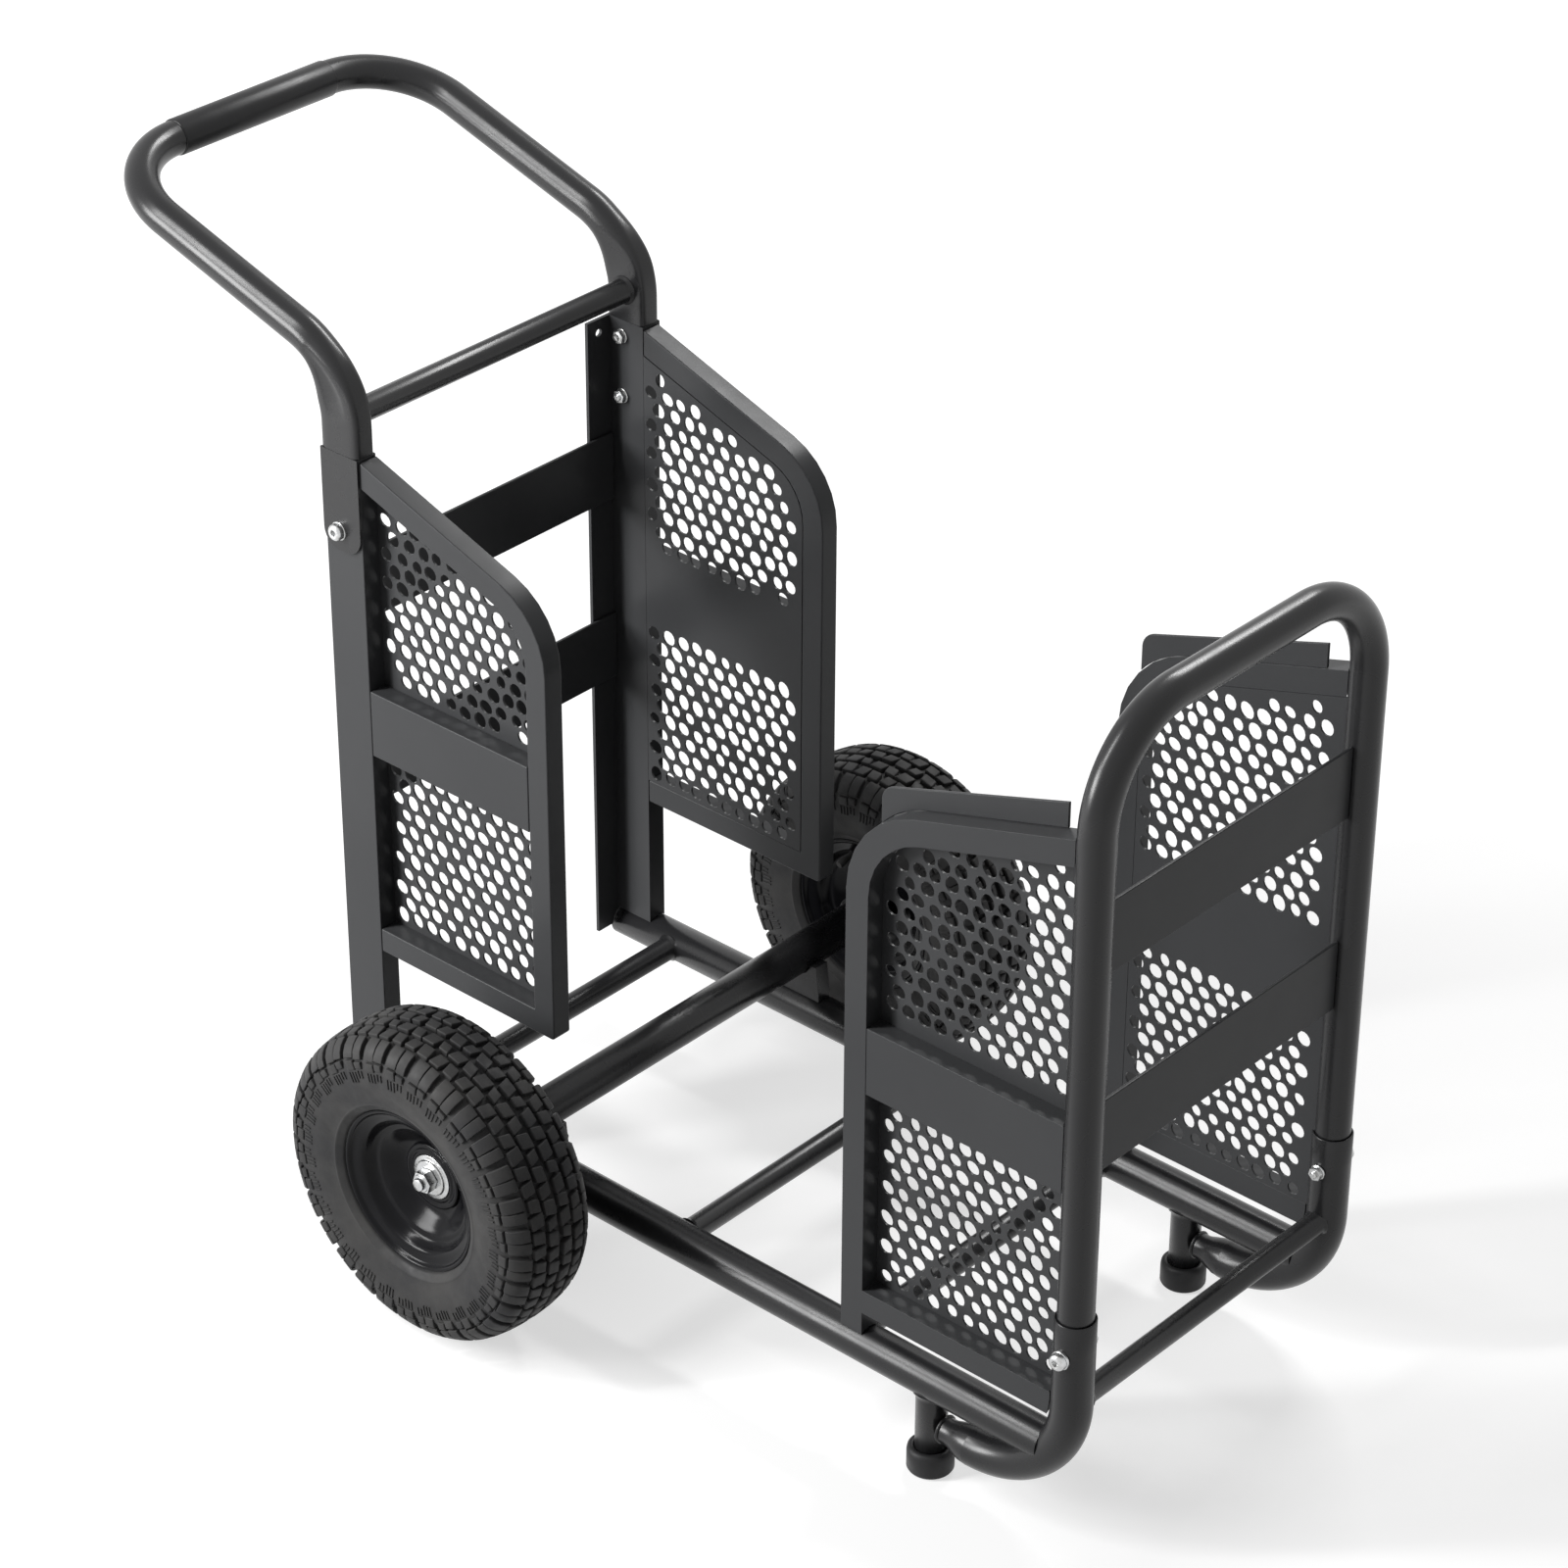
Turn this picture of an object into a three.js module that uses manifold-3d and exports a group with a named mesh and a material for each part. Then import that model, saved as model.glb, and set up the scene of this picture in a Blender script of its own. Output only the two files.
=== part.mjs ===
/**
 * Fireside log cart: a two-wheeled steel trolley with a push handle, two side frames
 * with perforated sheets, a front hoop and two front feet.
 *
 * Millimetres, +Z up, +X from the push handle to the front hoop, +Y to the left side.
 * X is measured from the wheel axle while the parts are laid out, and the whole cart is
 * then moved so that its origin is the middle of its footprint on the floor.
 */
import * as THREE from 'three';
import { mergeVertices } from 'three/addons/utils/BufferGeometryUtils.js';
import Module from 'manifold-3d';

const wasm = await Module();
wasm.setup();

// ---------------------------------------------------------------------------
// Driving dimensions
// ---------------------------------------------------------------------------

/** Gap between two pieces that touch. */
const clearance = 0.3;

// Wheels
const tyreDiameter = 268;
const tyreWidth = 86;
const trackWidth = 536;
const rimDiameter = 137.6;
const rimWidth = 68;
const rimSheet = 2.5;
const beadSeatDiameter = 105.6;
const hubDiameter = 38;
const hubBossDiameter = 57;
const hubOuterEnd = 7.5;
const treadDepth = 7;
const treadLugs = 24;
const lugLength = 22.5;
const lugGap = 5;
const lugDrop = 22;
const shoulderWidth = 68;

// Axle
const axleTubeDiameter = 32;
const axleTubeLength = 450;
const axleRodDiameter = 16;
const axleThreadDiameter = 10;
const axleWasherDiameter = 34;
const axleWasherThickness = 2.5;
const axleNutWidth = 17;
const axleNutHeight = 9;
const axleBracketLength = 52;
const axleBracketDepth = 14;

// Bottom frame
const frameWidth = 312;
const railDiameter = 31.8;
const railWall = 2;
const railHeight = 83;
const deckBarDiameter = 20;
const deckBarPositions = [-140, 150, 330];

// Rear posts
const postX = -185;
const postLength = 40;
const barDepth = 18;
const postTop = 659;
const flangeThickness = 3;
const flangeReach = 25;
const flangeHoleDiameter = 7;
const flangeHoleInset = 12;

// Side frames ("wings") and their mid plates
const barWidth = 21;
const rearWingEdge = 27.5;
const rearWingBottom = 218;
const rearWingTop = 657;
const rearWingFall = 19;
const rearWingRadius = 68;
const rearPlateBottom = 400;
const frontWingEdge = 326;
const frontWingBottom = 117;
const frontWingTop = 615;
const frontWingRise = 16.7;
const frontWingRadius = 85;
const frontPlateBottom = 317;
const plateHeight = 58;
const plateSheet = 2.5;

// Perforated sheets
const sheetThickness = 1.5;
const holeDiameter = 42;
const holePitch = 53;
const sheetMargin = 5;

// Lips on the front side frames
const lipThickness = 2.5;
const lipHeight = 21;
const lipRadius = 14;
const lipRear = 345;
const lipFront = 512;

// Front hoop, its straps and sockets
const hoopX = 542;
const hoopDiameter = 28;
const hoopTop = 696;
const hoopRadius = 82;
const hoopNeckDiameter = 25.4;
const hoopNeckLength = 62;
const strapThickness = 3;
const strapHeight = 60;
const upperStrapBottom = 495;
const lowerStrapBottom = 328;
const socketDiameter = 31.8;
const socketBore = 26.2;
const socketMouth = 209;
const socketBoltHeight = 179;
const socketBendRadius = 90;
const socketRunHeight = 42;
const crossTubeDiameter = 18;
const crossTubeHeight = 130;

// Front feet
const footX = 410;
const footPostDiameter = 25;
const footCapDiameter = 37;
const footCapHeight = 21;
const footCapFloor = 4;

// Push handle
const handleDiameter = 28;
const handleArmAngle = 17.2;
const handleBendHeight = 730;
const handleBendRadius = 68;
const gripX = -451;
const gripCornerRadius = 75;
const gripSleeve = 1;
const pressedLength = 40;
const pressedTurn = 16;
const roundTurn = 58;
const tongueThickness = 2;
const tongueLength = 84;
const tongueRadius = 16;
const handleBarDiameter = 20;
const handleBarHeight = 686;

// Bolts
const boltDiameter = 6;
const boltHeadWidth = 10;
const boltHeadHeight = 4;
const boltWasherDiameter = 12.5;
const boltWasherThickness = 1.2;
const boltX = -188;
const lowerBoltHeight = 592;
const upperBoltHeight = 645;

// Roundness
const tubeSides = 12;
const cutterSides = 16;
const smallSides = 8;
const bendSteps = 6;
const wheelSides = 20;
const turnedSides = 16;

// ---------------------------------------------------------------------------
// Derived dimensions
// ---------------------------------------------------------------------------

const frameHalf = frameWidth / 2;
const innerFace = frameHalf - barDepth / 2;
const outerFace = frameHalf + barDepth / 2;
const railRadius = railDiameter / 2;
const hoopTubeRadius = hoopDiameter / 2;
const socketRadius = socketDiameter / 2;
const handleTubeRadius = handleDiameter / 2;
const postRear = postX - postLength / 2;
const postFront = postX + postLength / 2;
const axleHeight = tyreDiameter / 2;
const wheelPlane = trackWidth / 2;
const pressedDepth = barDepth + clearance + tongueThickness;
const slopeOf = (degrees) => Math.tan(THREE.MathUtils.degToRad(degrees));
const armSlope = THREE.MathUtils.degToRad(handleArmAngle);
const gripHeight = handleBendHeight + (postX - gripX) * Math.tan(armSlope);
const hubInnerEnd = axleTubeLength / 2 + clearance - wheelPlane;

// ---------------------------------------------------------------------------
// Geometry helpers
// ---------------------------------------------------------------------------

/** Turns a closed geometry into a solid for joining and cutting. */
function toSolid(geometry) {
  const bare = geometry.clone();
  bare.deleteAttribute('normal');
  bare.deleteAttribute('uv');
  const merged = mergeVertices(bare, 1e-4);
  const vertProperties = new Float32Array(merged.attributes.position.array);
  const triVerts = new Uint32Array(merged.index.array);
  return new wasm.Manifold(new wasm.Mesh({ numProp: 3, vertProperties, triVerts }));
}

/** Turns a solid back into a geometry with flat-shaded faces. */
function toGeometry(solid) {
  const mesh = solid.getMesh();
  const indexed = new THREE.BufferGeometry();
  indexed.setAttribute('position', new THREE.BufferAttribute(mesh.vertProperties, 3));
  indexed.setIndex(new THREE.BufferAttribute(mesh.triVerts, 1));
  const geometry = indexed.toNonIndexed();
  geometry.computeVertexNormals();
  return geometry;
}

/** Joins the bodies and then takes the cutters away. */
function shaped(bodies, cutters = []) {
  const { union, difference } = wasm.Manifold;
  const joined = union(bodies.map(toSolid));
  return toGeometry(cutters.length > 0 ? difference([joined, ...cutters.map(toSolid)]) : joined);
}

/** The same body on the other side of the middle plane. */
function mirrored(geometry) {
  const flat = geometry.index ? geometry.toNonIndexed() : geometry.clone();
  const source = flat.attributes.position;
  const target = new Float32Array(source.count * 3);
  const winding = [0, 2, 1];
  for (let i = 0; i < source.count; i += 3) {
    for (let k = 0; k < 3; k += 1) {
      const from = i + winding[k];
      target[(i + k) * 3] = source.getX(from);
      target[(i + k) * 3 + 1] = -source.getY(from);
      target[(i + k) * 3 + 2] = source.getZ(from);
    }
  }
  const result = new THREE.BufferGeometry();
  result.setAttribute('position', new THREE.BufferAttribute(target, 3));
  result.computeVertexNormals();
  return result;
}

/** Points of a regular ring, the outline of a round section. */
function ring(radius, sides, centreX = 0, centreY = 0, phase = 0) {
  const points = [];
  for (let i = 0; i < sides; i += 1) {
    const angle = phase + (i / sides) * 2 * Math.PI;
    const x = centreX + radius * Math.cos(angle);
    const y = centreY + radius * Math.sin(angle);
    points.push(new THREE.Vector2(x, y));
  }
  return points;
}

/** Outline with rounded corners, from corners given as [x, y, radius]. */
function roundedOutline(corners, steps = bendSteps) {
  const points = [];
  const count = corners.length;
  corners.forEach(([x, y, radius = 0], i) => {
    const corner = new THREE.Vector2(x, y);
    if (radius === 0) {
      points.push(corner);
      return;
    }
    const before = new THREE.Vector2(...corners[(i + count - 1) % count]).sub(corner).normalize();
    const after = new THREE.Vector2(...corners[(i + 1) % count]).sub(corner).normalize();
    const opening = Math.acos(THREE.MathUtils.clamp(before.dot(after), -1, 1));
    const bisector = before.clone().add(after).normalize();
    const centre = corner.clone().addScaledVector(bisector, radius / Math.sin(opening / 2));
    const setback = radius / Math.tan(opening / 2);
    const start = corner.clone().addScaledVector(before, setback).sub(centre);
    const turn = Math.sign(before.cross(after)) * (Math.PI - opening);
    for (let k = 0; k <= steps; k += 1) {
      const spoke = start.clone().rotateAround(new THREE.Vector2(), (-turn * k) / steps);
      points.push(spoke.add(centre));
    }
  });
  return points;
}

const axisX = new THREE.Vector3(1, 0, 0);
const axisY = new THREE.Vector3(0, 1, 0);
const axisZ = new THREE.Vector3(0, 0, 1);

/** Straight extrusion of an outline, laid down by the three directions of its axes. */
function extruded(outline, holes, depth, directions) {
  const shape = new THREE.Shape(outline);
  for (const hole of holes) {
    shape.holes.push(new THREE.Path(hole));
  }
  const geometry = new THREE.ExtrudeGeometry(shape, { depth, bevelEnabled: false, steps: 1 });
  geometry.applyMatrix4(new THREE.Matrix4().makeBasis(...directions));
  return geometry;
}

/** Plate standing along the cart: an outline in X and Z between two Y planes. */
function plateAlong(outline, yFrom, yTo, holes = []) {
  const directions = [axisX, axisZ, axisY.clone().negate()];
  return extruded(outline, holes, yTo - yFrom, directions).translate(0, yTo, 0);
}

/** Bar lying along the cart: a section in Y and Z between two X planes. */
function barAlong(section, xFrom, xTo, holes = []) {
  return extruded(section, holes, xTo - xFrom, [axisY, axisZ, axisX]).translate(xFrom, 0, 0);
}

/** Upright bar: a section in X and Y between two heights. */
function upright(section, zFrom, zTo) {
  return extruded(section, [], zTo - zFrom, [axisX, axisY, axisZ]).translate(0, 0, zFrom);
}

/** Corners of a rectangle. */
function rectangle(x0, x1, y0, y1) {
  return [[x0, y0], [x1, y0], [x1, y1], [x0, y1]].map(([x, y]) => new THREE.Vector2(x, y));
}

/** Round rod between two points. */
function rod(from, to, radius, sides = tubeSides) {
  const direction = to.clone().sub(from);
  const geometry = new THREE.CylinderGeometry(radius, radius, direction.length(), sides);
  const turn = new THREE.Quaternion().setFromUnitVectors(axisY, direction.clone().normalize());
  geometry.applyQuaternion(turn);
  const middle = from.clone().add(to).multiplyScalar(0.5);
  return geometry.translate(middle.x, middle.y, middle.z);
}

/** Cutter that clears a round piece of this radius all round. */
function clearing(from, to, radius, sides = cutterSides) {
  const reach = (radius + clearance) / Math.cos(Math.PI / sides);
  return rod(from, to, reach, sides);
}

/** Path that visits given stations only, each with its own direction. */
class StationPath extends THREE.Curve {
  constructor(stations) {
    super();
    this.stations = stations;
  }

  station(t) {
    return this.stations[Math.round(t * (this.stations.length - 1))];
  }

  getPoint(t) {
    return this.station(t).point.clone();
  }

  getPointAt(t) {
    return this.getPoint(t);
  }

  getTangent(t) {
    return this.station(t).tangent.clone();
  }

  getTangentAt(t) {
    return this.getTangent(t);
  }
}

/** Stations along a bent tube, from its corner points and a bend radius at each. */
function bentPath(corners, radii) {
  const heading = (i) => corners[i + 1].clone().sub(corners[i]).normalize();
  const stations = [{ point: corners[0].clone(), tangent: heading(0) }];
  for (let i = 1; i < corners.length - 1; i += 1) {
    const incoming = heading(i - 1);
    const outgoing = heading(i);
    const radius = radii[i - 1];
    const turn = incoming.angleTo(outgoing);
    const side = outgoing.clone().addScaledVector(incoming, -Math.cos(turn)).normalize();
    const setback = radius * Math.tan(turn / 2);
    const start = corners[i].clone().addScaledVector(incoming, -setback);
    for (let k = 0; k <= bendSteps; k += 1) {
      const angle = (turn * k) / bendSteps;
      const point = start
        .clone()
        .addScaledVector(incoming, radius * Math.sin(angle))
        .addScaledVector(side, radius * (1 - Math.cos(angle)));
      const tangent = incoming
        .clone()
        .multiplyScalar(Math.cos(angle))
        .addScaledVector(side, Math.sin(angle));
      stations.push({ point, tangent });
    }
  }
  const last = corners.length - 1;
  stations.push({ point: corners[last].clone(), tangent: heading(last - 1) });
  return new StationPath(stations);
}

/** Body of round section along a path. */
function tubeAlong(path, radius) {
  return new THREE.ExtrudeGeometry(new THREE.Shape(ring(radius, tubeSides)), {
    steps: path.stations.length - 1,
    extrudePath: path,
    bevelEnabled: false,
  });
}

/** Body of revolution about its own Y axis, from a closed profile of [radius, height]. */
function revolved(profile, sides) {
  const points = profile.map(([radius, height]) => new THREE.Vector2(radius, height));
  points.push(points[0].clone());
  return new THREE.LatheGeometry(points, sides);
}

/** Through bolt along Y with a head, a nut and a washer under each. */
function throughBolt(x, z, headFace, nutFace) {
  const toward = Math.sign(headFace - nutFace);
  const at = (y) => new THREE.Vector3(x, y, z);
  const headTop = headFace + toward * (clearance + boltWasherThickness + boltHeadHeight);
  const nutTop = nutFace - toward * (clearance + boltWasherThickness + boltHeadHeight);
  const headWasher = headFace + toward * (clearance + boltWasherThickness);
  const nutWasher = nutFace - toward * (clearance + boltWasherThickness);
  return shaped([
    rod(at(headWasher), at(nutWasher), boltDiameter / 2, smallSides),
    rod(at(headTop), at(headWasher), boltHeadWidth / 2, 6),
    rod(at(nutTop), at(nutWasher), boltHeadWidth / 2, 6),
    rod(at(headWasher), at(headFace + toward * clearance), boltWasherDiameter / 2, smallSides),
    rod(at(nutWasher), at(nutFace - toward * clearance), boltWasherDiameter / 2, smallSides),
  ]);
}

/** Cutter for a bolt hole along Y. */
function boltHole(x, z, yFrom, yTo) {
  const from = new THREE.Vector3(x, yFrom, z);
  return clearing(from, new THREE.Vector3(x, yTo, z), boltDiameter / 2, smallSides);
}

// ---------------------------------------------------------------------------
// Outlines that several pieces share
// ---------------------------------------------------------------------------

/** Height of the upper edge of the rear side frame at x. */
const rearTopAt = (x) => rearWingTop - (x - postFront) * slopeOf(rearWingFall);

/** Height of the upper edge of the front side frame at x. */
const frontTopAt = (x) => frontWingTop - (hoopX - x) * slopeOf(frontWingRise);

/** How far the lower edge of a sloping bar lies under its upper edge. */
const rearBarDrop = barWidth / Math.cos(THREE.MathUtils.degToRad(rearWingFall));
const frontBarDrop = barWidth / Math.cos(THREE.MathUtils.degToRad(frontWingRise));

const rearPost = { from: postFront + clearance, edge: rearWingEdge, inside: rearWingEdge - barWidth };
const frontEnd = { to: hoopX, edge: frontWingEdge, inside: frontWingEdge + barWidth };

function rearWingOutline() {
  const lower = rearWingBottom + barWidth;
  return roundedOutline([
    [rearPost.from, rearWingBottom],
    [rearPost.edge, rearWingBottom, 3],
    [rearPost.edge, rearTopAt(rearPost.edge), rearWingRadius],
    [rearPost.from, rearTopAt(rearPost.from)],
    [rearPost.from, rearTopAt(rearPost.from) - rearBarDrop],
    [rearPost.inside, rearTopAt(rearPost.inside) - rearBarDrop, rearWingRadius - barWidth],
    [rearPost.inside, lower],
    [rearPost.from, lower],
  ]);
}

function frontWingOutline() {
  const lower = frontWingBottom + barWidth;
  return roundedOutline([
    [frontEnd.edge, railHeight],
    [frontEnd.inside, railHeight],
    [frontEnd.inside, frontWingBottom],
    [frontEnd.to, frontWingBottom],
    [frontEnd.to, lower],
    [frontEnd.inside, lower],
    [frontEnd.inside, frontTopAt(frontEnd.inside) - frontBarDrop, frontWingRadius - barWidth],
    [frontEnd.to, frontTopAt(frontEnd.to) - frontBarDrop],
    [frontEnd.to, frontTopAt(frontEnd.to)],
    [frontEnd.edge, frontTopAt(frontEnd.edge), frontWingRadius],
  ]);
}

function rearSheetOutline() {
  const left = rearPost.from;
  const right = rearPost.inside - clearance;
  const drop = rearBarDrop + clearance;
  return roundedOutline([
    [left, rearWingBottom + barWidth + clearance],
    [right, rearWingBottom + barWidth + clearance],
    [right, rearTopAt(right) - drop, rearWingRadius - barWidth],
    [left, rearTopAt(left) - drop],
  ]);
}

function frontSheetOutline() {
  const left = frontEnd.inside + clearance;
  const right = hoopX - hoopTubeRadius + sheetMargin;
  const drop = frontBarDrop + clearance;
  return roundedOutline([
    [left, frontWingBottom + barWidth + clearance],
    [right, frontWingBottom + barWidth + clearance],
    [right, frontTopAt(right) - drop],
    [left, frontTopAt(left) - drop, frontWingRadius - barWidth],
  ]);
}

/** Hexagonal holes in staggered rows, clear of the outline and of the mid plate. */
function perforation(outline, plateBottom, rightLimit) {
  const holeRadius = holeDiameter / 2;
  const margin = holeRadius + sheetMargin;
  const rowPitch = holePitch * Math.sin(Math.PI / 3);
  const xs = outline.map((point) => point.x);
  const zs = outline.map((point) => point.y);
  const plateMiddle = plateBottom + plateHeight / 2;
  const clearOfEdges = (x, z) =>
    outline.every((point, i) => {
      const next = outline[(i + 1) % outline.length];
      const edge = next.clone().sub(point);
      const reach = new THREE.Vector2(x, z).sub(point);
      return edge.cross(reach) >= margin * edge.length();
    });
  const holes = [];
  let row = 0;
  for (let z = Math.min(...zs) + margin; z < Math.max(...zs); z += rowPitch) {
    const offset = (row % 2) * (holePitch / 2);
    for (let x = Math.min(...xs) + margin + offset; x < Math.max(...xs); x += holePitch) {
      const free = Math.abs(z - plateMiddle) > plateHeight / 2 + holeRadius;
      if (free && x + margin <= rightLimit && clearOfEdges(x, z)) {
        holes.push(ring(holeRadius, 6, x, z, Math.PI / 6));
      }
    }
    row += 1;
  }
  return holes;
}

// ---------------------------------------------------------------------------
// Cutters that several pieces share
// ---------------------------------------------------------------------------

const railCutter = clearing(
  new THREE.Vector3(postRear - postLength, frameHalf, railHeight),
  new THREE.Vector3(hoopX, frameHalf, railHeight),
  railRadius,
);
const hoopLegCutter = clearing(
  new THREE.Vector3(hoopX, frameHalf, socketMouth),
  new THREE.Vector3(hoopX, frameHalf, hoopTop),
  hoopTubeRadius,
);

/** Route of the bent socket tube: down from its mouth and back to the foot. */
function socketPath(mouth) {
  return bentPath(
    [
      new THREE.Vector3(hoopX, frameHalf, mouth),
      new THREE.Vector3(hoopX, frameHalf, socketRunHeight),
      new THREE.Vector3(footX, frameHalf, socketRunHeight),
    ],
    [socketBendRadius],
  );
}

const socketCutter = tubeAlong(
  socketPath(socketMouth + clearance),
  (socketRadius + clearance) / Math.cos(Math.PI / tubeSides),
);

/** Trims what butts against the back of the socket, in front of its centre line. */
const beyondSocket = plateAlong(
  roundedOutline([
    [footX, socketRunHeight],
    [hoopX, socketRunHeight, socketBendRadius],
    [hoopX, socketMouth],
    [hoopX + socketDiameter, socketMouth],
    [hoopX + socketDiameter, 0],
    [footX, 0],
  ]),
  frameHalf - socketDiameter,
  frameHalf + socketDiameter,
);

// ---------------------------------------------------------------------------
// Wheels
// ---------------------------------------------------------------------------

/** Visible face of the pressed rim on its outer half, as [radius, height]. */
const rimFace = [
  [rimDiameter / 2, rimWidth / 2 - rimSheet],
  [rimDiameter / 2, rimWidth / 2],
  [rimDiameter / 2 - 2.6, rimWidth / 2],
  [rimDiameter / 2 - 3.8, rimWidth / 2 - 3.2],
  [rimDiameter / 2 - 12.8, rimWidth / 2 - 6.8],
  [rimDiameter / 2 - 18.3, rimWidth / 2 - 14],
  [rimDiameter / 2 - 21.8, rimWidth / 2 - 15.7],
  [rimDiameter / 2 - 34.8, rimWidth / 2 - 24.5],
  [hubBossDiameter / 2 + clearance, rimWidth / 2 - 28.5],
  [hubDiameter / 2 + clearance, rimWidth / 2 - 28.5],
];

/** Tyre side of the rim's outer half, one sheet thickness behind its face. */
const rimBack = [
  [rimDiameter / 2 - 3.2, rimWidth / 2 - rimSheet - 2.9],
  [rimDiameter / 2 - 11.3, rimWidth / 2 - rimSheet - 6.6],
  [beadSeatDiameter / 2, rimWidth / 2 - rimSheet - 12.9],
  [beadSeatDiameter / 2 - 21.8, rimWidth / 2 - rimSheet - 28.2],
];

const underside = (points) => points.map(([radius, height]) => [radius, -height]);

function rimGeometry() {
  const profile = [
    ...underside(rimBack),
    ...rimBack.slice().reverse(),
    ...rimFace,
    ...underside(rimFace).reverse(),
  ];
  return revolved(profile, wheelSides);
}

/** Half of the tyre's carcass outside, from the bead to the edge of the tread's floor. */
function tyreOutside() {
  const seat = beadSeatDiameter / 2;
  const flange = rimDiameter / 2;
  const wall = tyreWidth / 2;
  return [
    [seat + 0.8, rimWidth / 2 - 16],
    [flange + 0.6, rimWidth / 2 - 3],
    [flange + 1.6, rimWidth / 2 + 0.8],
    [flange + 28, wall - 1],
    [tyreDiameter / 2 - treadDepth, shoulderWidth / 2],
  ];
}

/** Half of the air chamber, from the tread to the bead. */
function tyreInside() {
  const seat = beadSeatDiameter / 2;
  const wall = tyreWidth / 2;
  return [
    [tyreDiameter / 2 - treadDepth - 9, wall - 17],
    [tyreDiameter / 2 - treadDepth - 30, wall - 7],
    [seat + 0.8, rimWidth / 2 - 21],
  ];
}

/** A lug on one side of the tread, bent over the tyre's shoulder onto its sidewall. */
function lugGeometry() {
  const top = Math.sqrt((tyreDiameter / 2) ** 2 - (lugLength / 2) ** 2);
  const wall = tyreWidth / 2;
  const section = [
    [lugGap / 2, top],
    [shoulderWidth / 2, top - 2.5],
    [wall, top - lugDrop],
    [lugGap / 2, top - 2 * treadDepth],
  ];
  const points = section.map(([across, out]) => new THREE.Vector2(across, out));
  return barAlong(points, -lugLength / 2, lugLength / 2);
}

/** A row of lugs round the tyre, which starts this share of a pitch along. */
function lugRow(lug, share) {
  const turns = Array.from({ length: treadLugs }, (_, i) => ((i + share) / treadLugs) * 2 * Math.PI);
  return turns.map((turn) => lug.clone().rotateY(turn));
}

function tyreGeometry() {
  const outside = tyreOutside();
  const inside = tyreInside();
  const profile = [
    ...underside(outside),
    ...outside.slice().reverse(),
    ...inside.slice().reverse(),
    ...underside(inside),
  ];
  const lug = lugGeometry();
  return shaped([
    revolved(profile, treadLugs),
    ...lugRow(lug, 0.5),
    ...lugRow(mirrored(lug), 0),
  ]);
}

function hubGeometry() {
  const bore = axleRodDiameter / 2 + clearance;
  const barrel = hubDiameter / 2;
  const boss = hubBossDiameter / 2;
  const seat = axleWasherDiameter / 2 + 1;
  const collar = rimWidth / 2 - 28.5 + clearance;
  const profile = [
    [bore, hubInnerEnd],
    [barrel, hubInnerEnd],
    [barrel, collar],
    [boss, collar],
    [boss, hubOuterEnd - 1],
    [boss - 2, hubOuterEnd],
    [seat + 3, hubOuterEnd],
    [seat, hubOuterEnd - 1.5],
    [bore, hubOuterEnd - 1.5],
  ];
  return revolved(profile, turnedSides);
}

// ---------------------------------------------------------------------------
// Axle
// ---------------------------------------------------------------------------

const washerSeat = wheelPlane + hubOuterEnd - 1.5 + clearance;
const nutSeat = washerSeat + axleWasherThickness + clearance;

function axleRodGeometry() {
  const shoulder = washerSeat - clearance;
  const end = nutSeat + axleNutHeight + 1.5;
  const half = [
    [axleRodDiameter / 2, shoulder],
    [axleThreadDiameter / 2, shoulder],
    [axleThreadDiameter / 2, end],
  ];
  const profile = [[0, -end], ...underside(half).reverse(), ...half, [0, end]];
  const points = profile.map(([radius, height]) => new THREE.Vector2(radius, height));
  return new THREE.LatheGeometry(points, tubeSides);
}

function axleTubeGeometry() {
  const bore = axleRodDiameter / 2 + clearance;
  const half = axleTubeLength / 2;
  const outside = axleTubeDiameter / 2;
  return revolved([[bore, -half], [outside, -half], [outside, half], [bore, half]], turnedSides);
}

function axleWasherGeometry() {
  const bore = axleThreadDiameter / 2 + clearance;
  const outside = axleWasherDiameter / 2;
  const height = axleWasherThickness;
  return revolved([[bore, 0], [outside, 0], [outside, height], [bore, height]], turnedSides);
}

function axleNutGeometry() {
  const bore = axleThreadDiameter / 2 + clearance;
  const corner = axleNutWidth / 2 / Math.cos(Math.PI / 6);
  const hexagon = ring(corner, 6);
  const hole = ring(bore / Math.cos(Math.PI / smallSides), smallSides);
  const directions = [axisX, axisZ.clone().negate(), axisY];
  return extruded(hexagon, [hole], axleNutHeight, directions);
}

function axleBracketGeometry() {
  const half = axleBracketLength / 2;
  const top = axleHeight - 3;
  const cheek = axleTubeDiameter / 2 + 7;
  const outline = roundedOutline([
    [-half, railHeight],
    [half, railHeight],
    [half, railHeight + railRadius + 6],
    [cheek, top],
    [-cheek, top],
    [-half, railHeight + railRadius + 6],
  ]);
  const plate = plateAlong(
    outline,
    frameHalf - axleBracketDepth / 2,
    frameHalf + axleBracketDepth / 2,
  );
  const axle = clearing(
    new THREE.Vector3(0, frameHalf - axleBracketDepth, axleHeight),
    new THREE.Vector3(0, frameHalf + axleBracketDepth, axleHeight),
    axleTubeDiameter / 2,
  );
  return shaped([plate], [axle, railCutter]);
}

// ---------------------------------------------------------------------------
// Bottom frame, feet and sockets
// ---------------------------------------------------------------------------

function railGeometry() {
  const outside = ring(railRadius, turnedSides, frameHalf, railHeight);
  const bore = ring(railRadius - railWall, turnedSides, frameHalf, railHeight);
  const tube = barAlong(outside, postRear, hoopX, [bore]);
  return shaped([tube], [socketCutter, beyondSocket]);
}

function deckBarGeometry(x) {
  const from = new THREE.Vector3(x, -frameHalf, railHeight);
  const to = new THREE.Vector3(x, frameHalf, railHeight);
  const bar = rod(from, to, deckBarDiameter / 2);
  return shaped([bar], [railCutter, mirrored(railCutter)]);
}

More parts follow.
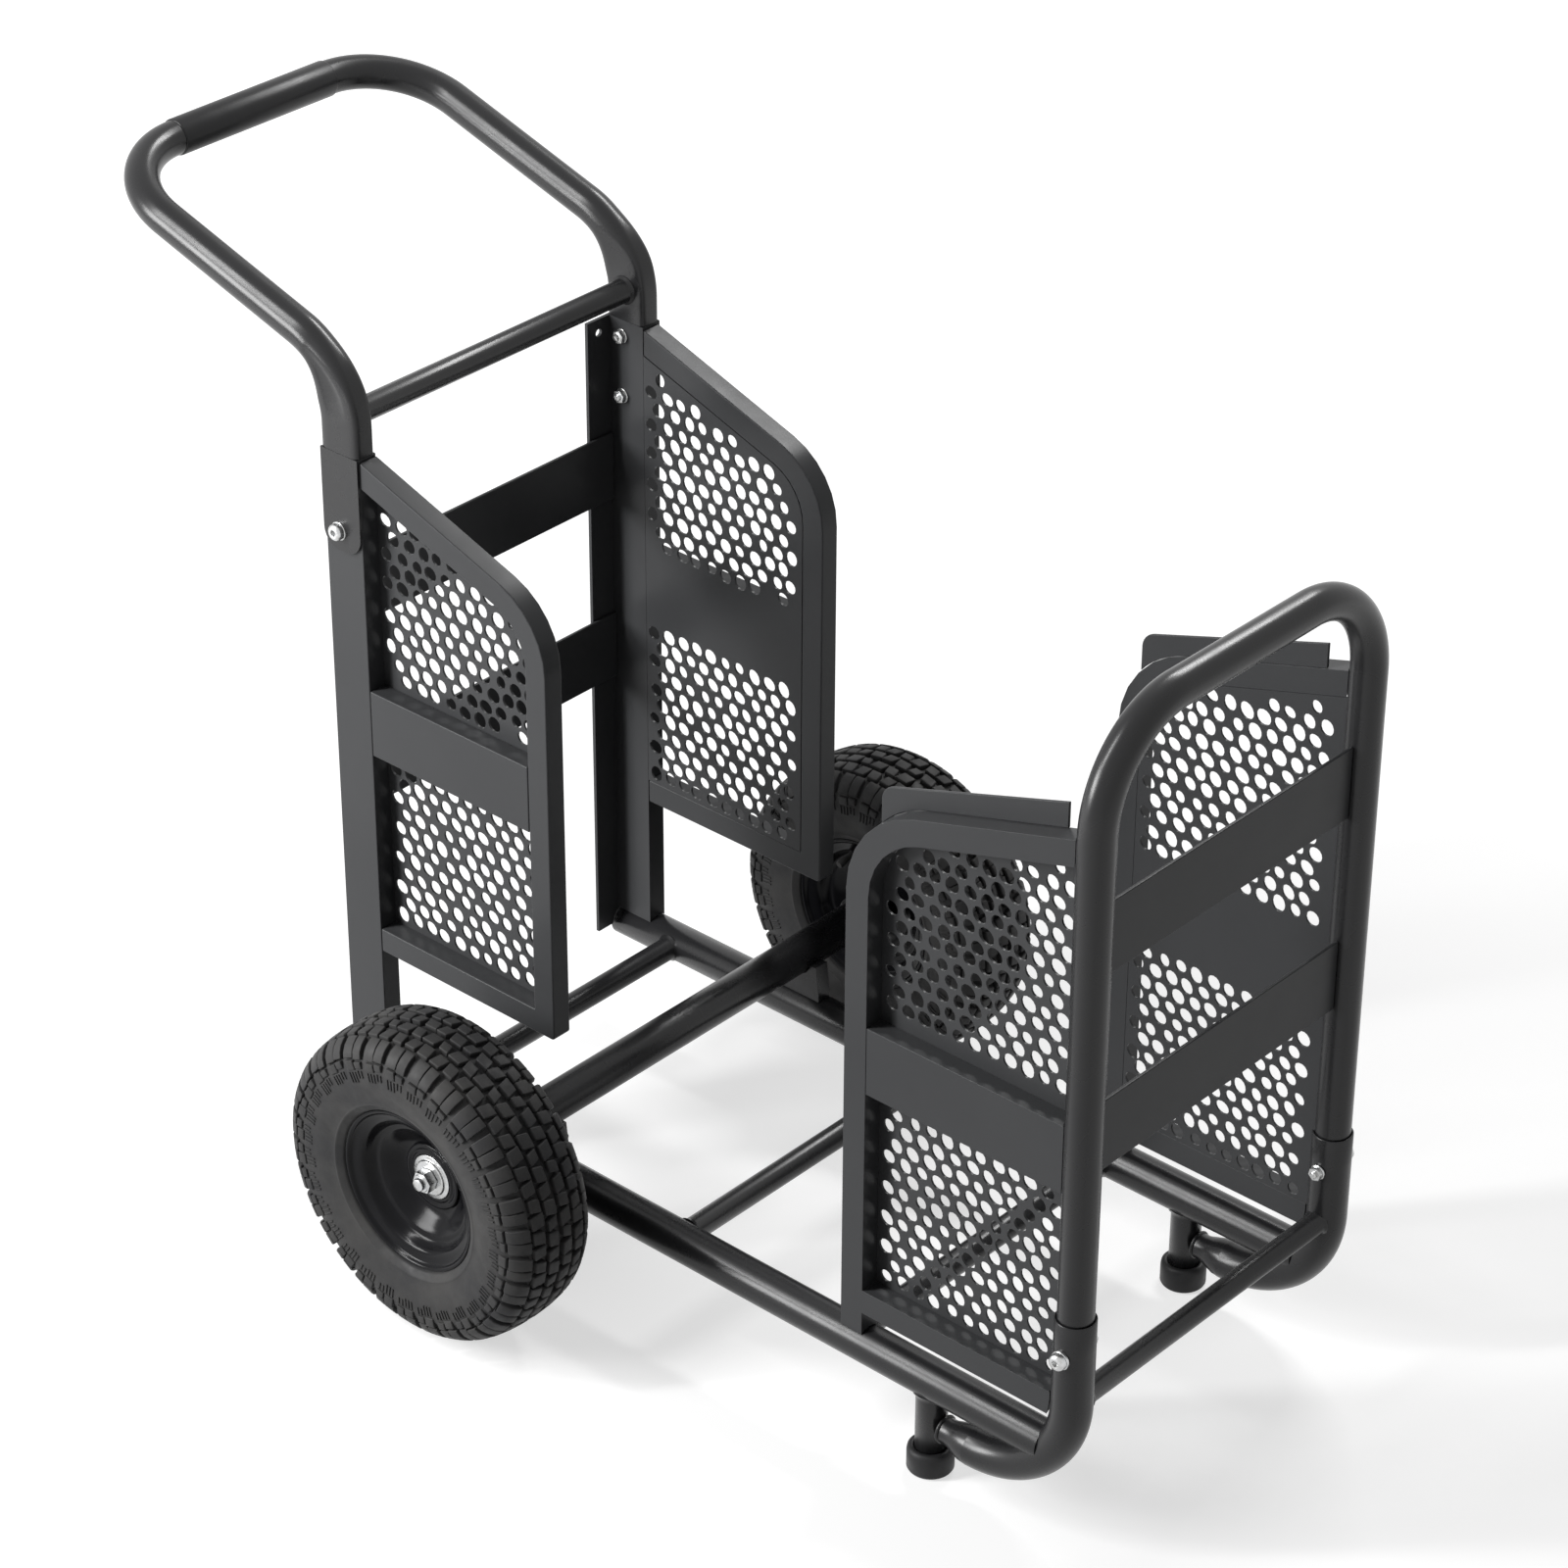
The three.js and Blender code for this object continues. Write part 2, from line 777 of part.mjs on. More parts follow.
function socketGeometry() {
  const tube = tubeAlong(socketPath(socketMouth), socketRadius);
  const bore = rod(
    new THREE.Vector3(hoopX, frameHalf, socketMouth - hoopNeckLength - clearance),
    new THREE.Vector3(hoopX, frameHalf, socketMouth + hoopNeckLength),
    socketBore / 2,
  );
  const foot = clearing(
    new THREE.Vector3(footX, frameHalf, 0),
    new THREE.Vector3(footX, frameHalf, railHeight),
    footPostDiameter / 2,
  );
  const hole = boltHole(hoopX, socketBoltHeight, frameHalf - railDiameter, frameHalf + railDiameter);
  return shaped([tube], [bore, foot, hole]);
}

function crossTubeGeometry() {
  const from = new THREE.Vector3(hoopX, -frameHalf, crossTubeHeight);
  const to = new THREE.Vector3(hoopX, frameHalf, crossTubeHeight);
  const tube = rod(from, to, crossTubeDiameter / 2);
  return shaped([tube], [socketCutter, mirrored(socketCutter)]);
}

function footPostGeometry() {
  const bottom = footCapFloor + clearance;
  const post = rod(
    new THREE.Vector3(footX, frameHalf, bottom),
    new THREE.Vector3(footX, frameHalf, railHeight),
    footPostDiameter / 2,
    turnedSides,
  );
  return shaped([post], [railCutter]);
}

function footCapGeometry() {
  const outside = footCapDiameter / 2;
  const bore = footPostDiameter / 2 + clearance;
  const profile = [
    [0, 0],
    [outside, 0],
    [outside, footCapHeight - 3],
    [outside - 2.5, footCapHeight],
    [bore, footCapHeight],
    [bore, footCapFloor],
    [0, footCapFloor],
  ];
  const points = profile.map(([radius, height]) => new THREE.Vector2(radius, height));
  return new THREE.LatheGeometry(points, turnedSides).rotateX(Math.PI / 2);
}

// ---------------------------------------------------------------------------
// Posts and side frames
// ---------------------------------------------------------------------------

function rearPostGeometry() {
  const flange = innerFace - flangeReach;
  const corners = [
    [postRear, flange],
    [postRear + flangeThickness, flange],
    [postRear + flangeThickness, innerFace],
    [postFront, innerFace],
    [postFront, outerFace],
    [postRear, outerFace],
  ];
  const section = corners.map(([x, y]) => new THREE.Vector2(x, y));
  const post = upright(section, railHeight, postTop);
  const flangeHoleY = innerFace - flangeHoleInset;
  const flangeHoleZ = postTop - flangeHoleInset;
  const flangeHole = rod(
    new THREE.Vector3(postRear - flangeThickness, flangeHoleY, flangeHoleZ),
    new THREE.Vector3(postRear + 2 * flangeThickness, flangeHoleY, flangeHoleZ),
    flangeHoleDiameter / 2,
    12,
  );
  const cutters = [
    railCutter,
    flangeHole,
    boltHole(boltX, lowerBoltHeight, innerFace - barDepth, outerFace + barDepth),
    boltHole(boltX, upperBoltHeight, innerFace - barDepth, frameHalf),
  ];
  return shaped([post], cutters);
}

function rearWingGeometry() {
  return plateAlong(rearWingOutline(), innerFace, outerFace);
}

function frontWingGeometry() {
  const frame = plateAlong(frontWingOutline(), innerFace, outerFace);
  return shaped([frame], [railCutter, hoopLegCutter, socketCutter]);
}

/** Folded plate across a side frame: a face with a flange along each long edge. */
function midPlateGeometry(bottom, xFrom, xTo) {
  const top = bottom + plateHeight;
  const inside = innerFace + sheetThickness + clearance;
  const corners = [
    [outerFace, bottom],
    [outerFace, top],
    [inside, top],
    [inside, top - plateSheet],
    [outerFace - plateSheet, top - plateSheet],
    [outerFace - plateSheet, bottom + plateSheet],
    [inside, bottom + plateSheet],
    [inside, bottom],
  ];
  const section = corners.map(([y, z]) => new THREE.Vector2(y, z));
  return barAlong(section, xFrom, xTo);
}

function rearSheetGeometry() {
  const outline = rearSheetOutline();
  const holes = perforation(outline, rearPlateBottom, rearWingEdge);
  return plateAlong(outline, innerFace, innerFace + sheetThickness, holes);
}

function frontSheetGeometry() {
  const outline = frontSheetOutline();
  const holes = perforation(outline, frontPlateBottom, hoopX - socketRadius);
  const sheet = plateAlong(outline, innerFace, innerFace + sheetThickness, holes);
  return shaped([sheet], [hoopLegCutter, socketCutter]);
}

/** Upright lip welded along the inner edge of the front side frame's upper bar. */
function lipGeometry() {
  const seat = roundedOutline([
    [frontEnd.to, frontTopAt(frontEnd.to) + clearance],
    [frontEnd.edge, frontTopAt(frontEnd.edge) + clearance, frontWingRadius],
    [frontEnd.edge, railHeight],
    [frontEnd.to, railHeight],
  ], 2 * bendSteps);
  const blank = roundedOutline([
    [lipRear, frontTopAt(lipRear) - lipHeight],
    [lipFront, frontTopAt(lipFront) - lipHeight],
    [lipFront, frontTopAt(lipFront) + lipHeight],
    [lipRear, frontTopAt(lipRear) + lipHeight - 5, lipRadius],
  ]);
  const cutter = plateAlong(seat, 0, frameWidth);
  return shaped([plateAlong(blank, innerFace, innerFace + lipThickness)], [cutter]);
}

// ---------------------------------------------------------------------------
// Straps and hoop
// ---------------------------------------------------------------------------

function frontStrapGeometry(bottom) {
  const reach = frameHalf - hoopTubeRadius - clearance;
  const section = rectangle(-reach, reach, bottom, bottom + strapHeight);
  return barAlong(section, hoopX - strapThickness / 2, hoopX + strapThickness / 2);
}

function rearStrapGeometry(bottom) {
  const reach = innerFace - clearance;
  const from = postRear + flangeThickness + clearance;
  const section = rectangle(-reach, reach, bottom, bottom + strapHeight);
  return barAlong(section, from, from + strapThickness);
}

function hoopGeometry() {
  const legEnd = socketMouth - hoopNeckLength;
  const shoulder = socketMouth + clearance;
  const path = bentPath(
    [
      new THREE.Vector3(hoopX, -frameHalf, shoulder),
      new THREE.Vector3(hoopX, -frameHalf, hoopTop),
      new THREE.Vector3(hoopX, frameHalf, hoopTop),
      new THREE.Vector3(hoopX, frameHalf, shoulder),
    ],
    [hoopRadius, hoopRadius],
  );
  const neck = (y) =>
    rod(
      new THREE.Vector3(hoopX, y, legEnd),
      new THREE.Vector3(hoopX, y, shoulder + hoopNeckDiameter),
      hoopNeckDiameter / 2,
    );
  const hole = boltHole(hoopX, socketBoltHeight, -frameWidth, frameWidth);
  return shaped([tubeAlong(path, hoopTubeRadius), neck(-frameHalf), neck(frameHalf)], [hole]);
}

// ---------------------------------------------------------------------------
// Push handle
// ---------------------------------------------------------------------------

function handlePath() {
  const foot = postTop + clearance;
  return bentPath(
    [
      new THREE.Vector3(postX, -frameHalf, foot),
      new THREE.Vector3(postX, -frameHalf, handleBendHeight),
      new THREE.Vector3(gripX, -frameHalf, gripHeight),
      new THREE.Vector3(gripX, frameHalf, gripHeight),
      new THREE.Vector3(postX, frameHalf, handleBendHeight),
      new THREE.Vector3(postX, frameHalf, foot),
    ],
    [handleBendRadius, gripCornerRadius, gripCornerRadius, handleBendRadius],
  );
}

/** Where the bend above the post begins, and how far it turns. */
const bendTurn = Math.PI / 2 - armSlope;
const bendStart = handleBendHeight - handleBendRadius * Math.tan(bendTurn / 2);
const bendCentreX = postX - handleBendRadius;

/** Presses the lower end of each handle leg flat, from the round tube to the post's section. */
function pressLegs(geometry) {
  const position = geometry.attributes.position;
  const flatTurn = THREE.MathUtils.degToRad(pressedTurn);
  const freeTurn = THREE.MathUtils.degToRad(roundTurn);
  const shift = innerFace + pressedDepth / 2 - frameHalf;
  for (let i = 0; i < position.count; i += 1) {
    const x = position.getX(i);
    const y = position.getY(i);
    const z = position.getZ(i);
    const above = z > bendStart;
    const angle = above ? Math.atan2(z - bendStart, x - bendCentreX) : 0;
    if (x < bendCentreX || angle > freeTurn) {
      continue;
    }
    const out = above ? Math.hypot(x - bendCentreX, z - bendStart) : x - bendCentreX;
    const u = out - handleBendRadius;
    const v = Math.abs(y) - frameHalf;
    const around = Math.atan2(v, u);
    const squarish = (value) => Math.sign(value) * Math.sqrt(Math.sqrt(Math.abs(value)));
    const flatU = (squarish(Math.cos(around)) * pressedLength) / 2;
    const flatV = (squarish(Math.sin(around)) * pressedDepth) / 2 + shift;
    const blend = 1 - THREE.MathUtils.smoothstep(angle, flatTurn, freeTurn);
    const newU = handleBendRadius + THREE.MathUtils.lerp(u, flatU, blend);
    const newY = Math.sign(y) * (frameHalf + THREE.MathUtils.lerp(v, flatV, blend));
    const newX = bendCentreX + newU * Math.cos(angle);
    const newZ = above ? bendStart + newU * Math.sin(angle) : z;
    position.setXYZ(i, newX, newY, newZ);
  }
  geometry.computeVertexNormals();
  return geometry;
}

function gripGeometry() {
  const reach = frameHalf - gripCornerRadius;
  const bore = handleTubeRadius + clearance;
  const outside = bore + gripSleeve;
  return revolved([[bore, -reach], [outside, -reach], [outside, reach], [bore, reach]], turnedSides);
}

function handleBarGeometry() {
  const reach = innerFace - clearance;
  const from = new THREE.Vector3(postX, -reach, handleBarHeight);
  return rod(from, new THREE.Vector3(postX, reach, handleBarHeight), handleBarDiameter / 2);
}

function tongueGeometry() {
  const outline = roundedOutline([
    [postRear, postTop - tongueLength, tongueRadius],
    [postFront, postTop - tongueLength, tongueRadius],
    [postFront, postTop],
    [postRear, postTop],
  ]);
  const inside = outerFace + clearance;
  const plate = plateAlong(outline, inside, inside + tongueThickness);
  const hole = boltHole(boltX, lowerBoltHeight, outerFace - barDepth, outerFace + barDepth);
  return shaped([plate], [hole]);
}

/** Room for such a bolt in a handle leg that comes down beside it. */
function faceBoltRoom(x, z, face) {
  const headFace = face - boltWasherThickness - boltHeadHeight - 2 * clearance;
  const washer = clearing(
    new THREE.Vector3(x, headFace, z),
    new THREE.Vector3(x, face, z),
    boltWasherDiameter / 2,
    smallSides,
  );
  return shaped([washer, boltHole(x, z, headFace, frameHalf)]);
}

/** Short bolt in the inner face of the post, with its head and washer showing. */
function faceBolt(x, z, face) {
  const at = (y) => new THREE.Vector3(x, y, z);
  const washer = face - clearance - boltWasherThickness;
  const head = washer - boltHeadHeight;
  const tip = frameHalf - clearance;
  return shaped([
    rod(at(head), at(washer), boltHeadWidth / 2, 6),
    rod(at(washer), at(face - clearance), boltWasherDiameter / 2, smallSides),
    rod(at(washer), at(tip), boltDiameter / 2, smallSides),
  ]);
}

// ---------------------------------------------------------------------------
// Materials
// ---------------------------------------------------------------------------

const finishes = {
  charcoal: { color: 0x4b4d50, roughness: 0.45, metalness: 0.35 },
  satinBlack: { color: 0x2a2b2d, roughness: 0.35, metalness: 0.35 },
  glossBlack: { color: 0x141415, roughness: 0.15, metalness: 0.3 },
  softGrip: { color: 0x1f2021, roughness: 0.8, metalness: 0 },
  capPlastic: { color: 0x1a1a1b, roughness: 0.6, metalness: 0 },
  tyreRubber: { color: 0x2c2c2d, roughness: 0.85, metalness: 0 },
  zinc: { color: 0xc4c6c8, roughness: 0.3, metalness: 0.9 },
};

// ---------------------------------------------------------------------------
// Assembly
// ---------------------------------------------------------------------------

const cart = new THREE.Group();

function add(name, geometry, finish, parent = cart) {
  const mesh = new THREE.Mesh(geometry, new THREE.MeshStandardMaterial(finishes[finish]));
  mesh.name = name;
  parent.add(mesh);
  return mesh;
}

/** Adds a piece of the left side and its mirror image on the right side. */
function addPair(name, geometry, finish) {
  add(`${name}_left`, geometry, finish);
  add(`${name}_right`, mirrored(geometry), finish);
}

const upperBoltRoom = faceBoltRoom(boltX, upperBoltHeight, innerFace);
const handleLoop = pressLegs(tubeAlong(handlePath(), handleTubeRadius));
add('handle_tube', shaped([handleLoop], [upperBoltRoom, mirrored(upperBoltRoom)]), 'satinBlack');
add('handle_grip', gripGeometry(), 'softGrip').position.set(gripX, 0, gripHeight);
add('handle_cross_bar', handleBarGeometry(), 'satinBlack');
addPair('handle_tongue', tongueGeometry(), 'satinBlack');
const tongueFace = outerFace + clearance + tongueThickness;
addPair('handle_bolt_lower', throughBolt(boltX, lowerBoltHeight, tongueFace, innerFace), 'zinc');
addPair('handle_bolt_upper', faceBolt(boltX, upperBoltHeight, innerFace), 'zinc');

addPair('rear_post', rearPostGeometry(), 'charcoal');
addPair('rear_wing_frame', rearWingGeometry(), 'charcoal');
const rearPlateEnd = rearWingEdge - barWidth - clearance;
const rearPlate = midPlateGeometry(rearPlateBottom, postFront + clearance, rearPlateEnd);
addPair('rear_wing_mid_plate', rearPlate, 'charcoal');
addPair('rear_panel', rearSheetGeometry(), 'charcoal');
add('rear_strap_upper', rearStrapGeometry(upperStrapBottom), 'charcoal');
add('rear_strap_lower', rearStrapGeometry(lowerStrapBottom), 'charcoal');

add('front_hoop', hoopGeometry(), 'satinBlack');
add('front_strap_upper', frontStrapGeometry(upperStrapBottom), 'charcoal');
add('front_strap_lower', frontStrapGeometry(lowerStrapBottom), 'charcoal');
addPair('front_wing_frame', frontWingGeometry(), 'charcoal');
const frontPlateStart = frontWingEdge + barWidth + clearance;
const frontPlate = midPlateGeometry(frontPlateBottom, frontPlateStart, hoopX);
addPair('front_wing_mid_plate', shaped([frontPlate], [hoopLegCutter]), 'charcoal');
addPair('front_panel', frontSheetGeometry(), 'charcoal');
addPair('front_wing_lip', lipGeometry(), 'charcoal');

addPair('bottom_rail', railGeometry(), 'satinBlack');
addPair('front_socket', socketGeometry(), 'satinBlack');
const socketHead = frameHalf + socketRadius;
const socketNut = frameHalf - socketRadius;
addPair('socket_bolt', throughBolt(hoopX, socketBoltHeight, socketHead, socketNut), 'zinc');
addPair('foot_post', footPostGeometry(), 'satinBlack');
const footCap = footCapGeometry().translate(footX, frameHalf, 0);
addPair('foot_cap', footCap, 'capPlastic');
add('front_cross_tube', crossTubeGeometry(), 'satinBlack');
deckBarPositions.forEach((x, i) => {
  add(`deck_bar_${i + 1}`, deckBarGeometry(x), 'satinBlack');
});

const axle = new THREE.Group();
axle.position.z = axleHeight;
cart.add(axle);
add('axle_tube', axleTubeGeometry(), 'satinBlack', axle);
add('axle_rod', axleRodGeometry(), 'zinc', axle);
addPair('axle_bracket', axleBracketGeometry(), 'satinBlack');

for (const [side, turn] of [['left', 0], ['right', Math.PI]]) {
  const corner = new THREE.Group();
  corner.rotation.z = turn;
  axle.add(corner);
  add(`axle_washer_${side}`, axleWasherGeometry(), 'zinc', corner).position.y = washerSeat;
  add(`axle_nut_${side}`, axleNutGeometry(), 'zinc', corner).position.y = nutSeat;
  const wheel = new THREE.Group();
  wheel.position.y = wheelPlane;
  corner.add(wheel);
  add(`tyre_${side}`, tyreGeometry(), 'tyreRubber', wheel);
  add(`rim_${side}`, rimGeometry(), 'glossBlack', wheel);
  add(`wheel_hub_${side}`, hubGeometry(), 'glossBlack', wheel);
}

/** The origin is the middle of the footprint between the grip and the sockets. */
const rearmost = gripX - handleTubeRadius - clearance - gripSleeve;
const foremost = hoopX + socketRadius;
cart.position.x = -(rearmost + foremost) / 2;
cart.updateMatrixWorld(true);

export default cart;
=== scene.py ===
"""Fireside log cart: the dressed pieces, their finishes and the studio around them.

Pieces are shaped in millimetres with X measured from the wheel axle, Y from the
middle plane and Z from the floor, as a drawing of the cart would give them. A piece
with a twin is shaped on the left side and turned over for the right one. The bench
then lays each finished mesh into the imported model's frame, in metres.
"""

import logging
import math
import random
from dataclasses import dataclass, field
from enum import Enum
from typing import Iterable, Sequence

import bmesh
import bpy
from bmesh.types import BMEdge, BMesh, BMVert
from bpy.types import Collection, Material, Mesh, Node, NodeSocket, NodeTree
from mathutils import Matrix, Vector


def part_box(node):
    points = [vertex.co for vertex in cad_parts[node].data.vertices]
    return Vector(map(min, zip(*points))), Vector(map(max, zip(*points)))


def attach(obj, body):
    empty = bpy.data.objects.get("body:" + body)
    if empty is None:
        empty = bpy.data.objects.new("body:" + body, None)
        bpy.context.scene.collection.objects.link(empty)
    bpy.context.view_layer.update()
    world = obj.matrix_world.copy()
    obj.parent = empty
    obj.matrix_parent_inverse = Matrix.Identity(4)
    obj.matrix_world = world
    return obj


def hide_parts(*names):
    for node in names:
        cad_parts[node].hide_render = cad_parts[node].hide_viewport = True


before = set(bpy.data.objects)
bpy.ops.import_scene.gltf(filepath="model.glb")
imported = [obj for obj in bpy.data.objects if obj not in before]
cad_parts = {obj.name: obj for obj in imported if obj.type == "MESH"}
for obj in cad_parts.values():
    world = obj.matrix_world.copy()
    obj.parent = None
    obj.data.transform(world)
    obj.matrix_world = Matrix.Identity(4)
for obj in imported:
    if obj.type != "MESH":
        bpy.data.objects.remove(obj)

log = logging.getLogger("log_cart")
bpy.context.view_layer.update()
Point = tuple[float, float]
Point3 = tuple[float, float, float]
Profile = Sequence[Point]

MILLIMETRE = 0.001
SAME_POINT = 1e-4
SAME_CAD_POINT = 2e-6
FULL_TURN = 2 * math.pi
UP: Point3 = (0, 0, 1)
DOWN: Point3 = (0, 0, -1)
LEFTWARD: Point3 = (0, 1, 0)
INWARD: Point3 = (0, -1, 0)
FORWARD: Point3 = (1, 0, 0)
REARWARD: Point3 = (-1, 0, 0)
HALF_WIDTH = 156.0
RAIL_HEIGHT = 83.0
RAIL_RADIUS = 15.9
AXLE_HEIGHT = 134.0
INNER_FACE = 147.0
HOOP_X = 542.0
FOOT_X = 410.0


class Side(Enum):
    """The two sides of the cart, with the sign of their Y."""

    LEFT = 1
    RIGHT = -1

    @property
    def word(self) -> str:
        """The side's word in a node's name."""
        return self.name.lower()


class End(Enum):
    """The two ends of the cart that have side frames, with their word in a node's name."""

    REAR = "rear"
    FRONT = "front"


class Surface(Enum):
    """How the faces of a piece are shaded: the angle over which an edge is sharp."""

    ROUND = 60.0
    MACHINED = 32.0
    MOULDED = 50.0


# ---------------------------------------------------------------------------
# Finishes
# ---------------------------------------------------------------------------


@dataclass(frozen=True)
class Grain:
    """A noise pattern: grains per metre, octaves and the share of the finer octaves."""

    scale: float
    detail: float
    finer: float = 0.5


@dataclass(frozen=True)
class Relief:
    """A bump on a noise pattern: how much of it shows, and a full step in metres."""

    grain: Grain
    strength: float
    step: float


@dataclass(frozen=True)
class NodeBench:
    """Adds nodes to one tree and wires them."""

    tree: NodeTree

    def fill(self, node: Node, inputs: dict[str | int, object]) -> None:
        """Sets or links inputs of a node.

        Args:
            node: the node.
            inputs: a number, a colour or another node's output for each input.
        """
        for key, value in inputs.items():
            if isinstance(value, NodeSocket):
                self.tree.links.new(value, node.inputs[key])
            else:
                node.inputs[key].default_value = value

    def add(self, kind: str, inputs: dict[str | int, object], result: str,
            **options: object) -> NodeSocket:
        """Adds a node.

        Args:
            kind: its type, without ShaderNode.
            inputs: as for fill.
            result: the output that is wanted.
            options: the node's own settings.

        Returns:
            That output.
        """
        node = self.tree.nodes.new(f"ShaderNode{kind}")
        for option, value in options.items():
            setattr(node, option, value)
        self.fill(node, inputs)
        return node.outputs[result]

    def noise(self, place: NodeSocket, grain: Grain) -> NodeSocket:
        """Adds a noise texture."""
        return self.add("TexNoise", {"Vector": place, "Scale": grain.scale,
                                     "Detail": grain.detail, "Roughness": grain.finer}, "Fac")

    def spread(self, value: NodeSocket, window: Point, result: Point) -> NodeSocket:
        """Maps a window of a value to a range."""
        return self.add("MapRange", {"Value": value, "From Min": window[0], "From Max": window[1],
                                     "To Min": result[0], "To Max": result[1]}, "Result")

    def seen_directly(self) -> NodeSocket:
        """Gives 1 where a surface is seen by the camera, in a gloss or through glass.

        Returns:
            The value.
        """
        path = self.tree.nodes.new("ShaderNodeLightPath")
        total = path.outputs["Is Camera Ray"]
        for ray in ("Is Glossy Ray", "Is Transmission Ray"):
            total = self.add("Math", {0: total, 1: path.outputs[ray]}, "Value",
                             operation="MAXIMUM")
        return total


@dataclass(frozen=True)
class Finish:
    """Two tints in clouds, with patches of gloss and reliefs that lie on each other."""

    slot: str
    tint: Point3
    second_tint: Point3
    roughness: Point
    reflection: float = 0.5
    kind: str = "finish"
    metal: float = 0.0
    sheen: float = 0.0
    clouds: Grain = Grain(30.0, 4.0)
    cloud_window: Point = (0.3, 0.7)
    patches: Grain = Grain(70.0, 3.0)
    patch_window: Point = (0.3, 0.7)
    reliefs: tuple[Relief, ...] = ()

    def material(self) -> Material:
        """Builds the finish.

        Returns:
            The material.
        """
        material = bpy.data.materials.new(f"{self.slot}_{self.kind}")
        material.use_nodes = True
        bench = NodeBench(material.node_tree)
        place = bench.add("TexCoord", {}, "Object")
        share = bench.spread(bench.noise(place, self.clouds), self.cloud_window, (0.0, 1.0))
        colour = bench.add("Mix", {"Factor": share, "A": (*self.tint, 1.0),
                                   "B": (*self.second_tint, 1.0)}, "Result", data_type="RGBA")
        patches = bench.noise(place, self.patches)
        layers: dict[str | int, object] = {}
        for relief in self.reliefs:
            layers |= {"Height": bench.noise(place, relief.grain),
                       "Strength": relief.strength, "Distance": relief.step}
            layers["Normal"] = bench.add("Bump", layers, "Normal")
        bench.fill(material.node_tree.nodes["Principled BSDF"], {
            "Base Color": colour, "Metallic": self.metal, "Sheen Weight": self.sheen,
            "Roughness": bench.spread(patches, self.patch_window, self.roughness),
            "Specular IOR Level": self.reflection, "Normal": layers["Normal"]})
        return material


@dataclass(frozen=True)
class PowderCoat(Finish):
    """Satin powder coat with a fine orange peel."""

    kind: str = "powder_coat"
    clouds: Grain = Grain(7.0, 4.0)
    patches: Grain = Grain(38.0, 5.0)
    reliefs: tuple[Relief, ...] = (Relief(Grain(700.0, 2.0), 0.03, 0.0003),
                                   Relief(Grain(2600.0, 1.0), 0.03, 0.0001))


@dataclass(frozen=True)
class GlossEnamel(Finish):
    """Thick gloss enamel of the pressed rims."""

    kind: str = "enamel"
    clouds: Grain = Grain(24.0, 4.0)
    patches: Grain = Grain(60.0, 3.0)
    reliefs: tuple[Relief, ...] = (Relief(Grain(45.0, 1.5), 0.03, 0.0006),)


@dataclass(frozen=True)
class ZincPlate(Finish):
    """Bright zinc plate of the bolts, nuts and washers."""

    kind: str = "plate"
    metal: float = 1.0
    clouds: Grain = Grain(160.0, 4.0)
    patches: Grain = Grain(420.0, 3.0)
    reliefs: tuple[Relief, ...] = (Relief(Grain(900.0, 2.0), 0.1, 0.0003),)


@dataclass(frozen=True)
class TyreRubber(Finish):
    """Dull rubber with a trace of dust."""

    kind: str = "rubber"
    sheen: float = 0.03
    clouds: Grain = Grain(22.0, 6.0, 0.62)
    cloud_window: Point = (0.38, 0.68)
    patches: Grain = Grain(90.0, 4.0)
    reliefs: tuple[Relief, ...] = (Relief(Grain(480.0, 4.0), 0.18, 0.0005),
                                   Relief(Grain(60.0, 3.0), 0.1, 0.001))


@dataclass(frozen=True)
class MouldedPlastic(Finish):
    """Moulded black plastic with a fine matt grain."""

    kind: str = "moulding"
    reliefs: tuple[Relief, ...] = (Relief(Grain(520.0, 3.0), 0.16, 0.0004),)


@dataclass(frozen=True)
class SoftGrip(MouldedPlastic):
    """Soft grip with a closer grain."""

    reliefs: tuple[Relief, ...] = (Relief(Grain(760.0, 3.0), 0.16, 0.0004),)


CHARCOAL = PowderCoat("charcoal_steel", (0.044, 0.045, 0.047), (0.05, 0.051, 0.053),
                      (0.28, 0.35), 0.14)
BLACK = PowderCoat("black_steel", (0.013, 0.013, 0.014), (0.017, 0.017, 0.018), (0.25, 0.3), 0.34)
ENAMEL = GlossEnamel("gloss_rim", (0.004, 0.004, 0.005), (0.008, 0.008, 0.009), (0.17, 0.22), 0.12)
ZINC = ZincPlate("zinc", (0.62, 0.63, 0.64), (0.48, 0.48, 0.47), (0.2, 0.38))
RUBBER = TyreRubber("tyre", (0.024, 0.024, 0.025), (0.042, 0.041, 0.04), (0.5, 0.72), 0.22)
CAP = MouldedPlastic("foot_rubber", (0.014, 0.014, 0.015), (0.024, 0.024, 0.025), (0.4, 0.55), 0.25)
SLEEVE = SoftGrip("grip", (0.013, 0.013, 0.014), (0.019, 0.019, 0.02), (0.3, 0.36), 0.25)


# ---------------------------------------------------------------------------
# Shaping
# ---------------------------------------------------------------------------


def mirrored(end: Profile) -> list[Point]:
    """Completes a profile whose second half is the first one's mirror image."""
    return ([(radius, -along) for radius, along in end]
            + [(radius, along) for radius, along in reversed(end) if along != 0])


def stepped(radius: float, steps: Profile) -> list[Point]:
    """Adds a radius to the steps of a profile."""
    return [(radius + out, along) for out, along in steps]


def welded(radius: float, reach: float, fillet: Profile) -> list[Point]:
    """Draws a bar with a weld fillet at each end."""
    return mirrored([(0, reach)] + [(radius + out, reach - back) for out, back in fillet])


